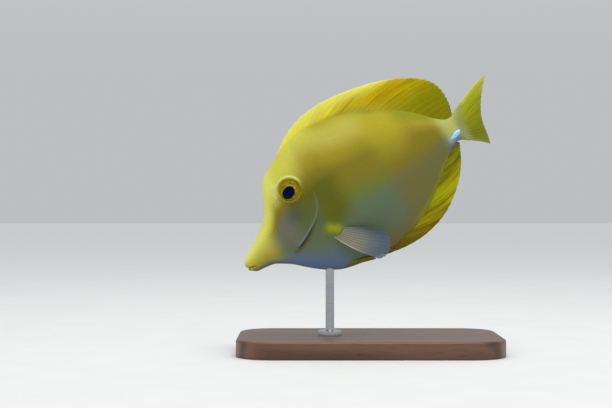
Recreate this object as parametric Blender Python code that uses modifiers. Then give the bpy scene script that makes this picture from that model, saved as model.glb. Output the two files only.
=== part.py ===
"""A yellow tang, Zebrasoma flavescens, as a life-size museum model on a plain display stand.

The fish is shaped in its own level frame: x runs from the snout to the tail, z up its back and y to its
right side, with the origin at the tip of the upper lip. The swing of the tail is then bent into every
piece, and an empty pitches the fish nose down and lifts it onto its stand. The stand is centred on the
origin, with its underside at z = 0. Every size below is in mm and every angle in degrees.
"""

import math

import bmesh
import bpy
import numpy as np
from mathutils import Matrix, Vector
from mathutils.bvhtree import BVHTree

MM = 0.001
GAP = 0.3
SIDES = {"left": -1, "right": 1}

# The pose: the fish's pitch, and where the tip of its snout stands.
PITCH = 30.0
SNOUT_X = -57.0
SNOUT_HEIGHT = 40.0

# The body's table of offsets: x and z of the crest, then x and z of the keel, at each frame.
FRAMES = (
    (-0.35, 0.5, -0.1, -1.1),
    (-0.1, 1.5, 0.4, -2.3),
    (0.6, 2.4, 1.4, -3.4),
    (2.4, 3.8, 3.4, -4.7),
    (6.0, 6.0, 7.0, -5.0),
    (11.0, 9.3, 11.5, -5.7),
    (15.4, 12.8, 15.5, -7.8),
    (18.9, 16.8, 19.5, -10.4),
    (21.9, 22.2, 23.5, -14.0),
    (24.5, 28.0, 27.5, -17.4),
    (28.5, 32.3, 32.0, -20.6),
    (35.5, 36.1, 38.0, -23.6),
    (42.5, 39.6, 45.0, -25.2),
    (50.5, 41.5, 53.0, -26.2),
    (60.0, 41.6, 62.0, -26.4),
    (70.0, 40.2, 71.5, -25.0),
    (80.0, 37.4, 80.5, -22.2),
    (90.0, 32.8, 89.5, -17.2),
    (98.5, 27.0, 97.5, -11.0),
    (105.5, 20.8, 104.5, -4.9),
    (110.5, 15.6, 110.0, -0.8),
    (114.8, 12.8, 114.8, 1.0),
    (118.2, 13.2, 118.0, 0.2),
    (121.0, 14.6, 120.6, -1.8),
)
# Half the body's width along x.
HALF_WIDTHS = (
    (-0.3, 1.0), (0.2, 1.8), (1.0, 2.5), (3.0, 3.2), (6.5, 3.8), (11.0, 4.6), (15.5, 5.6), (20.0, 6.8),
    (25.0, 7.9), (31.0, 8.9), (40.0, 9.6), (52.0, 9.7), (64.0, 9.1), (76.0, 8.1), (88.0, 6.8), (98.0, 5.3),
    (106.0, 4.1), (112.0, 3.2), (116.0, 2.6), (121.0, 1.1),
)
# How keen the crest and the keel are along x: 1 is an ellipse, and more is a sharper edge.
CREST_KEENNESS = (
    (0.0, 0.85), (12.0, 0.85), (26.0, 0.95), (42.0, 1.3), (100.0, 1.3), (112.0, 0.95), (121.0, 0.7),
)
KEEL_KEENNESS = (
    (0.0, 0.85), (12.0, 0.9), (30.0, 1.1), (50.0, 1.15), (100.0, 1.3), (112.0, 0.95), (121.0, 0.7),
)
RINGS_PER_FRAME = 2
RING_POINTS = 36

# Cuts through the body, as x and z of a line seen from the side.
GILL_OPENING = (
    (24.5, -4.8), (27.0, -4.1), (30.0, -2.8), (34.0, -0.6), (37.5, 1.6), (40.3, 4.0), (42.6, 7.0),
    (44.0, 10.2), (44.8, 13.5), (45.0, 16.5),
)
NAPE_LINE = ((44.6, 21.0), (43.5, 27.0), (42.2, 33.0), (41.2, 37.5), (40.6, 46.0))
THROAT_LINE = ((19.2, -14.0), (20.4, -8.8), (22.0, -6.4))
GILL_COVER_FRONT = ((26.0, -3.0), (29.5, 0.8), (33.2, 6.4), (37.0, 11.4), (41.3, 15.2), (47.5, 15.6))
GILL_COVER_BEHIND = ((50.0, 8.0), (44.0, -2.0), (34.0, -7.0), (25.5, -7.0))
GILL_COVER_INNER = 5.2
GILL_COVER_LIFT = 0.55
GILL_COVER_LIFT_REACH = 3.0
TAIL_CUT = ((106.0, 40.0), (106.0, -20.0))
GAPE = ((-3.0, -1.1), (0.6, -1.3), (2.6, -1.75), (4.3, -2.5), (5.6, -3.9), (6.6, -8.0))
CUT_REACH = 25.0

# Each lip runs back and down from its tip to a corner of the mouth, and thins on the way.
UPPER_LIP = {"tip_x": 0.35, "back": 3.3, "half_width": 2.95, "z": -0.45, "fall": 0.8, "radius": 0.75}
LOWER_LIP = {"tip_x": 1.0, "back": 2.7, "half_width": 2.8, "z": -2.25, "fall": 0.5, "radius": 0.7}
LIP_STEPS = 16
LIP_THINNING = 0.6

EYE = {"x": 34.6, "z": 20.2, "radius": 5.0, "depth": 3.3, "sunk": 1.9, "segments": 24, "rings": 12}
ORBIT = {"radius": 6.1, "thickness": 0.8, "rise": 0.1, "points": 30}
# Nostrils: x, z and radius.
NOSTRILS = ((24.8, 18.8, 0.4), (26.7, 19.3, 0.55))
NOSTRIL_DEPTH = 1.2
NOSTRIL_SIDES = 10

# Fins: each row is one driving ray, and the fin's own rays are spaced evenly between them.
# Median fins: x of the ray's root on the body, x and z of its tip, and how far its middle bows forward.
DORSAL_RAYS = (
    (41.6, 44.2, 42.3, 0.3), (47.0, 54.5, 47.0, 0.6), (54.0, 68.0, 48.4, 0.9), (62.0, 82.0, 47.0, 1.1),
    (70.0, 94.0, 44.3, 1.2), (77.0, 103.2, 41.2, 1.2), (84.0, 110.4, 37.6, 1.2), (91.0, 116.0, 33.2, 1.1),
    (97.5, 119.0, 28.2, 1.0), (104.0, 120.0, 22.2, 0.8), (109.3, 119.4, 17.8, 0.5), (113.2, 117.6, 14.8, 0.2),
)
ANAL_RAYS = (
    (56.0, 59.0, -28.0, -0.2), (62.0, 70.0, -29.4, -0.4), (69.0, 80.0, -28.9, -0.6),
    (77.0, 90.0, -26.1, -0.7), (85.0, 98.2, -21.5, -0.7), (93.0, 105.9, -15.0, -0.7),
    (101.0, 111.4, -8.2, -0.6), (107.5, 114.3, -2.7, -0.4), (112.8, 115.6, 0.2, -0.2),
)
# Tail fin, spread flat: the root's height as a share of the stem's end, x and z of the tip, and the bow.
CAUDAL_RAYS = (
    (0.98, 143.9, 24.1, 0.5), (0.86, 141.4, 19.9, 0.4), (0.68, 138.6, 14.6, 0.2), (0.50, 136.8, 8.6, 0.0),
    (0.32, 136.6, 2.6, -0.2), (0.14, 138.6, -4.2, -0.4), (0.02, 140.6, -9.6, -0.5),
)
# Paired fins: x and z of the root and of the tip, the bow, and how far the tip stands off the flank.
PECTORAL_RAYS = (
    (40.4, -7.9, 53.9, -26.0, -1.6, 11.5), (40.8, -6.9, 57.2, -26.3, -1.2, 11.0),
    (41.2, -5.9, 60.6, -25.2, -0.8, 10.0), (41.5, -5.0, 62.9, -22.9, -0.5, 8.8),
    (41.7, -4.1, 63.6, -19.6, -0.2, 7.6), (41.8, -3.3, 61.8, -15.9, 0.0, 6.4),
    (41.8, -2.6, 57.4, -12.4, 0.2, 5.2),
)
PELVIC_RAYS = (
    (39.4, -23.2, 54.0, -27.2, 0.0, 0.2), (39.7, -22.7, 53.7, -26.5, 0.0, 0.6),
    (40.1, -22.2, 52.8, -25.6, 0.0, 1.0), (40.6, -21.7, 50.6, -24.5, 0.0, 1.4),
)
# Each fin's count of rays, thickness at its root and of its web, height of its ridges, how fast the root
# thins, how far its roots start inside the body, and how far the right one of a pair is swept back.
DORSAL = {"rays": 28, "root": 2.4, "web": 0.55, "ridge": 0.45, "thinning": 4, "sunk": 1.2}
ANAL = {"rays": 22, "root": 2.4, "web": 0.55, "ridge": 0.45, "thinning": 4, "sunk": 1.0}
CAUDAL = {"rays": 16, "root": 2.2, "web": 0.55, "ridge": 0.4, "thinning": 3}
PECTORAL = {"rays": 14, "root": 2.6, "web": 0.5, "ridge": 0.35, "thinning": 4, "sunk": 1.6, "sweep": 14.0}
PELVIC = {"rays": 6, "root": 1.4, "web": 0.5, "ridge": 0.3, "thinning": 4, "sunk": 1.0, "sweep": 0.0}
FIN_ROWS = 6
FIN_ROW_CROWDING = 1.4

TAIL_SPINE = {"x": 113.8, "z": 4.5, "length": 7.0, "height": 2.3, "thickness": 2.4, "tilt": 18.0}
TAIL_SPINE_TAPER = 0.45

# The tail's swing to the fish's right: its heading grows to the stem's end and on to the fin's edge,
# while the fin's upper lobe leans towards the left flank.
SWING_START = 84.0
STEM_END = 121.0
FIN_END = 143.0
STEM_HEADING = 24.0
FIN_HEADING = 52.0
STEM_EASE = 1.6
TWIST_START = 108.0
FIN_TWIST = 27.0
TWIST_EASE = 1.2
TAIL_AXIS_HEIGHT = 6.4

BASE = {"length": 122.0, "width": 66.0, "height": 8.0, "corner": 16.0, "edge": 1.2}
ROD = {"x": -18.2, "radius": 2.0, "top": 46.0, "spigot": 5.0, "sides": 24}
FLANGE = {"radius": 5.5, "height": 2.0, "dome": 0.2, "rim": 0.6, "fillet": 1.0}

YELLOW = (0.72, 0.56, 0.04)
PALE_YELLOW = (0.66, 0.58, 0.16)
EYE_DARK = (0.01, 0.01, 0.05)
SPINE_WHITE = (0.80, 0.86, 0.88)
WALNUT = (0.10, 0.05, 0.025)
STEEL = (0.55, 0.55, 0.56)


def clear_scene():
    for thing in list(bpy.data.objects):
        bpy.data.objects.remove(thing, do_unlink=True)


def new_collection(name):
    collection = bpy.data.collections.new(name)
    bpy.context.scene.collection.children.link(collection)
    return collection


def material(name, colour, roughness, metallic=0.0):
    made = bpy.data.materials.new(name)
    made.use_nodes = True
    shader = made.node_tree.nodes["Principled BSDF"]
    shader.inputs["Base Color"].default_value = (*colour, 1.0)
    shader.inputs["Roughness"].default_value = roughness
    shader.inputs["Metallic"].default_value = metallic
    return made


def spline(rows, per_span):
    """A Catmull-Rom curve through every row, with per_span steps between neighbours."""
    rows = np.array(rows, float)
    padded = np.vstack([2 * rows[0] - rows[1], rows, 2 * rows[-1] - rows[-2]])
    made = []
    for k in range(len(rows) - 1):
        a, b, c, d = padded[k : k + 4]
        for step in range(per_span):
            t = step / per_span
            square = (2 * a - 5 * b + 4 * c - d) * t**2
            cube = (3 * b - a - 3 * c + d) * t**3
            made.append((2 * b + (c - a) * t + square + cube) / 2)
    made.append(rows[-1])
    return np.array(made)


def along(table, x):
    """The value of a smooth table of (x, value) pairs at x."""
    dense = spline(table, 8)
    return float(np.interp(x, dense[:, 0], dense[:, 1]))


def body_rings():
    """The body's cross sections, snout first. Each starts at the crest and goes round by the left flank."""
    rings = []
    for crest_x, crest_z, keel_x, keel_z in spline(FRAMES, RINGS_PER_FRAME):
        middle = (crest_x + keel_x) / 2
        half_width = along(HALF_WIDTHS, middle)
        crest_power = along(CREST_KEENNESS, middle)
        keel_power = along(KEEL_KEENNESS, middle)
        ring = []
        for k in range(RING_POINTS):
            angle = 2 * math.pi * k / RING_POINTS
            share = (1 - math.cos(angle)) / 2
            power = crest_power if share < 0.5 else keel_power
            x = crest_x + (keel_x - crest_x) * share
            y = -half_width * math.copysign(abs(math.sin(angle)) ** power, math.sin(angle))
            z = crest_z + (keel_z - crest_z) * share
            ring.append(Vector((x, y, z)) * MM)
        rings.append(ring)
    return rings


def to_object(bm, name, collection):
    bmesh.ops.recalc_face_normals(bm, faces=bm.faces)
    mesh = bpy.data.meshes.new(name)
    bm.to_mesh(mesh)
    bm.free()
    made = bpy.data.objects.new(name, mesh)
    collection.objects.link(made)
    return made


def hide(tool):
    tool.display_type = "WIRE"
    tool.hide_render = True
    return tool


def loft(name, rings, collection):
    """A closed solid through rings that have the same number of points."""
    bm = bmesh.new()
    rows = [[bm.verts.new(point) for point in ring] for ring in rings]
    for here, there in zip(rows, rows[1:]):
        for k in range(len(here)):
            after = (k + 1) % len(here)
            bm.faces.new((here[k], here[after], there[after], there[k]))
    bm.faces.new(rows[0][::-1])
    bm.faces.new(rows[-1])
    return to_object(bm, name, collection)


def apply_modifiers(thing):
    graph = bpy.context.evaluated_depsgraph_get()
    mesh = bpy.data.meshes.new_from_object(thing.evaluated_get(graph))
    thing.modifiers.clear()
    thing.data = mesh


def combine(thing, tool, operation):
    """Cuts thing with tool, joins tool to it, or keeps what both share."""
    modifier = thing.modifiers.new(operation.lower(), "BOOLEAN")
    modifier.operation = operation
    modifier.solver = "EXACT"
    modifier.object = tool
    apply_modifiers(thing)


def shells(thing):
    """The closed surfaces in a mesh, as lists of its vertex numbers, largest first."""
    bm = bmesh.new()
    bm.from_mesh(thing.data)
    seen = set()
    found = []
    for start in bm.verts:
        if start.index in seen:
            continue
        seen.add(start.index)
        queue = [start]
        island = []
        while queue:
            vertex = queue.pop()
            island.append(vertex.index)
            for edge in vertex.link_edges:
                other = edge.other_vert(vertex)
                if other.index not in seen:
                    seen.add(other.index)
                    queue.append(other)
        found.append(island)
    bm.free()
    return sorted(found, key=len, reverse=True)


def keep_only(thing, island):
    bm = bmesh.new()
    bm.from_mesh(thing.data)
    kept = set(island)
    bmesh.ops.delete(bm, geom=[v for v in bm.verts if v.index not in kept], context="VERTS")
    bm.to_mesh(thing.data)
    bm.free()


def keep_largest(thing):
    keep_only(thing, shells(thing)[0])


def part_in_two(thing, knife, front_name, rear_name, collection):
    """Cuts thing with a thin wall, and returns the piece nearer the snout and the piece behind it."""
    combine(thing, knife, "DIFFERENCE")
    pieces = []
    for island in shells(thing)[:2]:
        piece = bpy.data.objects.new("piece", thing.data.copy())
        collection.objects.link(piece)
        keep_only(piece, island)
        pieces.append(piece)
    bpy.data.objects.remove(thing)
    pieces.sort(key=lambda piece: sum(v.co.x for v in piece.data.vertices) / len(piece.data.vertices))
    for piece, name in zip(pieces, (front_name, rear_name)):
        piece.name = piece.data.name = name
    return pieces


def side_normals(points, closed):
    """At each point of a side-view line, the unit normal to its left."""
    normals = []
    for k, point in enumerate(points):
        before = points[k - 1] if k or closed else point
        after = points[(k + 1) % len(points)] if k + 1 < len(points) or closed else point
        step = Vector((after[0] - before[0], after[1] - before[1])).normalized()
        normals.append(Vector((-step.y, step.x)))
    return normals


def push_through(bm, faces, depth):
    """Extrudes faces along y into a block."""
    extruded = bmesh.ops.extrude_face_region(bm, geom=faces)["geom"]
    moved = [v for v in extruded if isinstance(v, bmesh.types.BMVert)]
    bmesh.ops.translate(bm, verts=moved, vec=Vector((0, depth * MM, 0)))


def wall(name, points, collection):
    """A knife: a wall as thick as the gap, on a side-view line, that passes right through the body."""
    bm = bmesh.new()
    pairs = []
    for (x, z), normal in zip(points, side_normals(points, closed=False)):
        pair = []
        for side in (-0.5, 0.5):
            place = Vector((x + normal.x * side * GAP, -CUT_REACH, z + normal.y * side * GAP))
            pair.append(bm.verts.new(place * MM))
        pairs.append(pair)
    faces = [bm.faces.new((a[0], b[0], b[1], a[1])) for a, b in zip(pairs, pairs[1:])]
    push_through(bm, faces, 2 * CUT_REACH)
    return hide(to_object(bm, name, collection))


def prism(name, outline, grow, near, far, collection):
    """A side-view outline, grown by some mm, as a block from y = near to y = far."""
    area = sum(a[0] * b[1] - b[0] * a[1] for a, b in zip(outline, outline[1:] + outline[:1]))
    outward = -math.copysign(1, area)
    bm = bmesh.new()
    ring = []
    for (x, z), normal in zip(outline, side_normals(outline, closed=True)):
        place = Vector((x + normal.x * outward * grow, near, z + normal.y * outward * grow))
        ring.append(bm.verts.new(place * MM))
    push_through(bm, [bm.faces.new(ring)], far - near)
    return hide(to_object(bm, name, collection))


def grown_copy(thing, name, collection):
    """The body swollen by the gap, for cutting what meets it."""
    copy = bpy.data.objects.new(name, thing.data.copy())
    collection.objects.link(copy)
    bm = bmesh.new()
    bm.from_mesh(copy.data)
    bm.normal_update()
    moves = [(v, v.normal * v.calc_shell_factor() * GAP * MM) for v in bm.verts]
    for vertex, move in moves:
        vertex.co += move
    bm.to_mesh(copy.data)
    bm.free()
    return hide(copy)


class Flank:
    """Where the body's surface is, seen from the side."""

    def __init__(self, body):
        bm = bmesh.new()
        bm.from_mesh(body.data)
        self.tree = BVHTree.FromBMesh(bm)
        bm.free()

    def at(self, x, z, side):
        """The surface's point, in mm, and its outward normal at x and z."""
        origin = Vector((x, side * CUT_REACH * 2, z)) * MM
        point, normal, _, _ = self.tree.ray_cast(origin, Vector((0, -side, 0)))
        return point / MM, normal


def facing(point, normal):
    """A matrix at a point, in mm, whose z axis is the normal."""
    return Matrix.Translation(point * MM) @ normal.to_track_quat("Z", "Y").to_matrix().to_4x4()


def tube(name, path, radius, closed, collection):
    """A round bar along a path of points, each with its share of the radius, as a welded mesh."""
    curve = bpy.data.curves.new(name, "CURVE")
    curve.dimensions = "3D"
    line = curve.splines.new("POLY")
    line.points.add(len(path) - 1)
    for target, (point, share) in zip(line.points, path):
        target.co = (*(Vector(point) * MM), 1)
        target.radius = share
    line.use_cyclic_u = closed
    curve.bevel_depth = radius * MM
    curve.bevel_resolution = 1
    curve.use_fill_caps = not closed
    source = bpy.data.objects.new(name, curve)
    collection.objects.link(source)
    mesh = bpy.data.meshes.new_from_object(source.evaluated_get(bpy.context.evaluated_depsgraph_get()))
    bpy.data.objects.remove(source)
    bm = bmesh.new()
    bm.from_mesh(mesh)
    bmesh.ops.remove_doubles(bm, verts=bm.verts, dist=0.001 * MM)
    return hide(to_object(bm, name, collection))


def lip_path(lip):
    """Round the mouth from corner to corner, as points with the lip's share of its fullness there."""
    path = []
    for k in range(LIP_STEPS + 1):
        turn = math.pi * (k / LIP_STEPS - 0.5)
        back = 1 - math.cos(turn)
        x = lip["tip_x"] + lip["back"] * back
        y = lip["half_width"] * math.sin(turn)
        z = lip["z"] - lip["fall"] * back
        path.append(((x, y, z), 1 - LIP_THINNING * back**3))
    return path


def eyeball(name, flank, side, grow, collection):
    """A flattened ball that looks out of the head, with its centre sunk below the skin."""
    bm = bmesh.new()
    bmesh.ops.create_uvsphere(bm, u_segments=EYE["segments"], v_segments=EYE["rings"], radius=1.0)
    across = (EYE["radius"] + grow) * MM
    bmesh.ops.scale(bm, vec=[across, across, (EYE["depth"] + grow) * MM], verts=bm.verts)
    point, normal = flank.at(EYE["x"], EYE["z"], side)
    bmesh.ops.transform(bm, matrix=facing(point - normal * EYE["sunk"], normal), verts=bm.verts)
    return to_object(bm, name, collection)


def orbit_path(flank, side):
    """The rim of the eye socket, laid on the skin."""
    path = []
    for k in range(ORBIT["points"]):
        angle = 2 * math.pi * k / ORBIT["points"]
        x = EYE["x"] + ORBIT["radius"] * math.cos(angle)
        z = EYE["z"] + ORBIT["radius"] * math.sin(angle)
        point, normal = flank.at(x, z, side)
        path.append((point + normal * ORBIT["rise"], 1))
    return path


def nostril(flank, side, x, z, radius, collection):
    bm = bmesh.new()
    size = {"radius1": radius * MM, "radius2": radius * MM, "depth": 2 * NOSTRIL_DEPTH * MM}
    bmesh.ops.create_cone(bm, cap_ends=True, segments=NOSTRIL_SIDES, **size)
    bmesh.ops.transform(bm, matrix=facing(*flank.at(x, z, side)), verts=bm.verts)
    return hide(to_object(bm, "nostril_cutter", collection))


def lift_gill_cover(thing):
    """Raises the free edge of the gill cover over the shoulder behind it."""
    line = spline(GILL_OPENING, 6)
    inner = (GILL_COVER_INNER + GAP / 10) * MM
    for vertex in thing.data.vertices:
        away = np.hypot(line[:, 0] - vertex.co.x / MM, line[:, 1] - vertex.co.z / MM).min()
        if away < GILL_COVER_LIFT_REACH and abs(vertex.co.y) > inner:
            rise = GILL_COVER_LIFT * (1 - (away / GILL_COVER_LIFT_REACH) ** 2)
            vertex.co.y += math.copysign(rise * MM, vertex.co.y)


def ray_point(ray, v):
    """A point at share v of a ray's length. The ray is its root and tip (x, y, z), and its bow."""
    root, tip = Vector(ray[:3]), Vector(ray[3:6])
    chord = Vector((tip.x - root.x, tip.z - root.z)).normalized()
    bow = ray[6] * 4 * v * (1 - v)
    return root.lerp(tip, v) + Vector((-chord.y * bow, 0, chord.x * bow))


def fin_thickness(fin, u, v, on_ray):
    """A fleshy root that thins to a web, with a ridge along each ray."""
    fleshy = (fin["root"] - fin["web"]) * math.sin(math.pi * (0.12 + 0.76 * u)) ** 0.6
    ridge = fin["ridge"] * min(1, 4 * v) * (1 - 0.5 * v)
    return fin["web"] + fleshy * (1 - v) ** fin["thinning"] + on_ray * ridge


def fin_sheet(name, driving, fin, collection):
    """A fin with raised rays. The driving rays are in the form that ray_point takes."""
    columns = 2 * fin["rays"]
    dense = spline(driving, 12)
    shares = np.linspace(0, len(dense) - 1, columns + 1)
    spread = np.array([[np.interp(s, range(len(dense)), column) for column in dense.T] for s in shares])
    bm = bmesh.new()
    bmesh.ops.create_grid(bm, x_segments=columns, y_segments=FIN_ROWS, size=0.5)
    weights = []
    for vertex in bm.verts:
        column = round((vertex.co.x + 0.5) * columns)
        v = (vertex.co.y + 0.5) ** FIN_ROW_CROWDING
        weights.append(fin_thickness(fin, column / columns, v, column % 2))
        vertex.co = ray_point(spread[column], v) * MM
    bmesh.ops.triangulate(bm, faces=bm.faces)
    sheet = to_object(bm, name, collection)
    thickest = max(weights)
    group = sheet.vertex_groups.new(name="thickness")
    for index, weight in enumerate(weights):
        group.add([index], weight / thickest, "REPLACE")
    solid = sheet.modifiers.new("thickness", "SOLIDIFY")
    solid.thickness = thickest * MM
    solid.offset = 0
    solid.vertex_group = group.name
    apply_modifiers(sheet)
    return sheet


def median_fin(name, rays, fin, line, collection):
    """A dorsal or anal fin, whose roots start inside the crest or keel and are cut to it later."""
    dense = spline(FRAMES, 8)
    xs, heights = {"crest": dense[:, :2].T, "keel": dense[:, 2:].T}[line]
    inward = {"crest": -1, "keel": 1}[line]
    driving = []
    for root_x, tip_x, tip_z, bow in rays:
        root_z = np.interp(root_x, xs, heights) + inward * fin["sunk"]
        driving.append((root_x, 0, root_z, tip_x, 0, tip_z, bow))
    return fin_sheet(name, driving, fin, collection)


def caudal_fin(collection):
    """The tail fin, spread flat behind the stem's end."""
    crest_x, crest_z, keel_x, keel_z = FRAMES[-1]
    driving = []
    for share, tip_x, tip_z, bow in CAUDAL_RAYS:
        root_x = keel_x + (crest_x - keel_x) * share + GAP
        root_z = keel_z + (crest_z - keel_z) * share
        driving.append((root_x, 0, root_z, tip_x, 0, tip_z, bow))
    return fin_sheet("caudal_fin", driving, CAUDAL, collection)


def paired_fin(name, rays, fin, side, flank, collection):
    """A pectoral or pelvic fin. Its roots start inside the flank and are cut to it later."""
    middle = rays[len(rays) // 2]
    hinge = Vector(middle[:2])
    turn = Matrix.Rotation(math.radians(fin["sweep"] if side > 0 else 0), 2)
    driving = []
    for root_x, root_z, tip_x, tip_z, bow, out in rays:
        skin = abs(flank.at(root_x, root_z, side)[0].y)
        tip = hinge + turn @ (Vector((tip_x, tip_z)) - hinge)
        root = (root_x, side * (skin - fin["sunk"]), root_z)
        driving.append((*root, tip.x, side * (skin + out), tip.y, bow))
    return fin_sheet(name, driving, fin, collection)


def tail_spine(name, side, flank, collection):
    """The blade folded flat on the stem: blunt behind, keen in front."""
    spine = TAIL_SPINE
    bm = bmesh.new()
    bmesh.ops.create_uvsphere(bm, u_segments=12, v_segments=8, radius=0.5)
    for vertex in bm.verts:
        taper = 1 - TAIL_SPINE_TAPER * (0.5 - vertex.co.x)
        vertex.co.y *= taper
        vertex.co.z *= taper
    size = [spine["length"] * MM, spine["thickness"] * MM, spine["height"] * MM]
    bmesh.ops.scale(bm, vec=size, verts=bm.verts)
    point, _ = flank.at(spine["x"], spine["z"], side)
    tilt = Matrix.Rotation(-math.radians(spine["tilt"]), 4, "Y")
    bmesh.ops.transform(bm, matrix=Matrix.Translation(point * MM) @ tilt, verts=bm.verts)
    return to_object(bm, name, collection)


def swing_table():
    """Along x: the bent centreline's x and y, its heading and its twist."""
    step = 0.25
    xs = np.arange(SWING_START, FIN_END + 10, step)
    stem = np.clip((xs - SWING_START) / (STEM_END - SWING_START), 0, 1)
    fin = np.clip((xs - STEM_END) / (FIN_END - STEM_END), 0, 1)
    leaning = np.clip((xs - TWIST_START) / (FIN_END - TWIST_START), 0, 1.2)
    more = (FIN_HEADING - STEM_HEADING) * np.sin(fin * math.pi / 2)
    heading = np.radians(STEM_HEADING * stem**STEM_EASE + more)
    twist = np.radians(FIN_TWIST * leaning**TWIST_EASE)
    bent_x = SWING_START + np.concatenate([[0], np.cumsum(np.cos(heading[:-1]) * step)])
    bent_y = np.concatenate([[0], np.cumsum(np.sin(heading[:-1]) * step)])
    return xs, bent_x, bent_y, heading, twist


def swing(thing, table):
    """Bends a piece of the level fish into the swing of its tail."""
    for vertex in thing.data.vertices:
        x, y, z = vertex.co / MM
        if x <= SWING_START:
            continue
        centre_x, centre_y, heading, twist = (np.interp(x, table[0], column) for column in table[1:])
        height = z - TAIL_AXIS_HEIGHT
        across = y * math.cos(twist) - height * math.sin(twist)
        up = y * math.sin(twist) + height * math.cos(twist)
        bent_x = centre_x - across * math.sin(heading)
        bent_y = centre_y + across * math.cos(heading)
        vertex.co = Vector((bent_x, bent_y, TAIL_AXIS_HEIGHT + up)) * MM


def turned(name, profile, collection):
    """A turned shape about z. The profile is (radius, height) pairs from its top round to its foot."""
    bm = bmesh.new()
    verts = [bm.verts.new(Vector((radius, 0, height)) * MM) for radius, height in profile]
    for a, b in zip(verts, verts[1:]):
        bm.edges.new((a, b))
    mesh = bpy.data.meshes.new(name)
    bm.to_mesh(mesh)
    bm.free()
    made = bpy.data.objects.new(name, mesh)
    collection.objects.link(made)
    screw = made.modifiers.new("turn", "SCREW")
    screw.steps = screw.render_steps = ROD["sides"]
    screw.use_merge_vertices = True
    screw.merge_threshold = 0.01 * MM
    apply_modifiers(made)
    return made


def soften(bm, edges, offset, segments):
    size = {"offset": offset * MM, "segments": segments, "profile": 0.5}
    bmesh.ops.bevel(bm, geom=edges, affect="EDGES", material=-1, **size)


def stand_base(collection, cutters):
    """A flat plate with round corners, a softened top edge and a hole for the rod."""
    height = BASE["height"]
    touch = 0.001 * MM
    bm = bmesh.new()
    bmesh.ops.create_cube(bm, size=1.0)
    bmesh.ops.scale(bm, vec=[BASE["length"] * MM, BASE["width"] * MM, height * MM], verts=bm.verts)
    bmesh.ops.translate(bm, vec=[0, 0, height / 2 * MM], verts=bm.verts)
    soften(bm, [e for e in bm.edges if abs(e.verts[0].co.z - e.verts[1].co.z) > touch], BASE["corner"], 8)
    soften(bm, [e for e in bm.edges if all(v.co.z > height * MM - touch for v in e.verts)], BASE["edge"], 3)
    base = to_object(bm, "stand_base", collection)
    radius = (ROD["radius"] + GAP) * MM
    hole = bmesh.new()
    size = {"radius1": radius, "radius2": radius, "depth": 2 * (ROD["spigot"] + GAP) * MM}
    bmesh.ops.create_cone(hole, cap_ends=True, segments=ROD["sides"], **size)
    bmesh.ops.translate(hole, vec=Vector((ROD["x"], 0, height)) * MM, verts=hole.verts)
    combine(base, hide(to_object(hole, "rod_hole", cutters)), "DIFFERENCE")
    return base


def stand_rod(body_clearance, collection):
    """A rod with a round flange and a spigot, whose top is cut to the belly that it carries."""
    radius, foot, wide = ROD["radius"], BASE["height"] + GAP, FLANGE["radius"]
    crown = foot + FLANGE["height"]
    spigot_end = BASE["height"] - ROD["spigot"]
    profile = (
        (0, ROD["top"]),
        (radius, ROD["top"]),
        (radius, crown + FLANGE["fillet"]),
        (radius + FLANGE["fillet"], crown),
        (wide - FLANGE["rim"], crown - FLANGE["dome"]),
        (wide, crown - FLANGE["dome"] - FLANGE["rim"]),
        (wide, foot),
        (radius, foot),
        (radius, spigot_end),
        (0, spigot_end),
    )
    rod = turned("stand_rod", profile, collection)
    rod.data.transform(Matrix.Translation(Vector((ROD["x"], 0, 0)) * MM))
    combine(rod, body_clearance, "DIFFERENCE")
    lowest = min(shells(rod), key=lambda island: min(rod.data.vertices[k].co.z for k in island))
    keep_only(rod, lowest)
    return rod


def gill_cover(name, side, head, collection, cutters):
    """Parts the gill cover from the head, and leaves a bed for it."""
    outline = [tuple(point) for point in spline(GILL_COVER_FRONT, 2)] + list(GILL_COVER_BEHIND)
    inner = side * GILL_COVER_INNER
    cover = bpy.data.objects.new(name, head.data.copy())
    collection.objects.link(cover)
    combine(cover, prism("cover_block", outline, 0, inner, side * CUT_REACH, cutters), "INTERSECT")
    bed = prism("cover_bed", outline, GAP, inner - side * GAP, side * CUT_REACH, cutters)
    combine(head, bed, "DIFFERENCE")
    keep_largest(cover)
    keep_largest(head)
    return cover


def flesh_pieces(collection, cutters):
    """The head, jaw, gill covers, trunk and tail stem, parted from one body by thin cuts."""
    whole = loft("body", body_rings(), collection)
    flank = Flank(whole)
    clearance = grown_copy(whole, "body_clearance", cutters)
    gill_line = [tuple(point) for point in spline(GILL_OPENING, 2)]
    gill_wall = wall("gill_wall", list(THROAT_LINE) + gill_line + list(NAPE_LINE), cutters)
    head, trunk = part_in_two(whole, gill_wall, "head", "trunk", collection)
    trunk, stem = part_in_two(trunk, wall("tail_wall", TAIL_CUT, cutters), "trunk", "tail_stem", collection)
    for lip in (UPPER_LIP, LOWER_LIP):
        combine(head, tube("lip", lip_path(lip), lip["radius"], False, cutters), "UNION")
    jaw, head = part_in_two(head, wall("gape_wall", GAPE, cutters), "lower_jaw", "head", collection)
    covers = []
    for name, side in SIDES.items():
        combine(head, tube("orbit", orbit_path(flank, side), ORBIT["thickness"], True, cutters), "UNION")
        combine(head, hide(eyeball("socket", flank, side, GAP, cutters)), "DIFFERENCE")
        for x, z, radius in NOSTRILS:
            combine(head, nostril(flank, side, x, z, radius, cutters), "DIFFERENCE")
        covers.append(gill_cover("gill_cover_" + name, side, head, collection, cutters))
    for piece in (head, *covers):
        lift_gill_cover(piece)
    return [head, jaw, trunk, stem, *covers], flank, clearance


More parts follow.
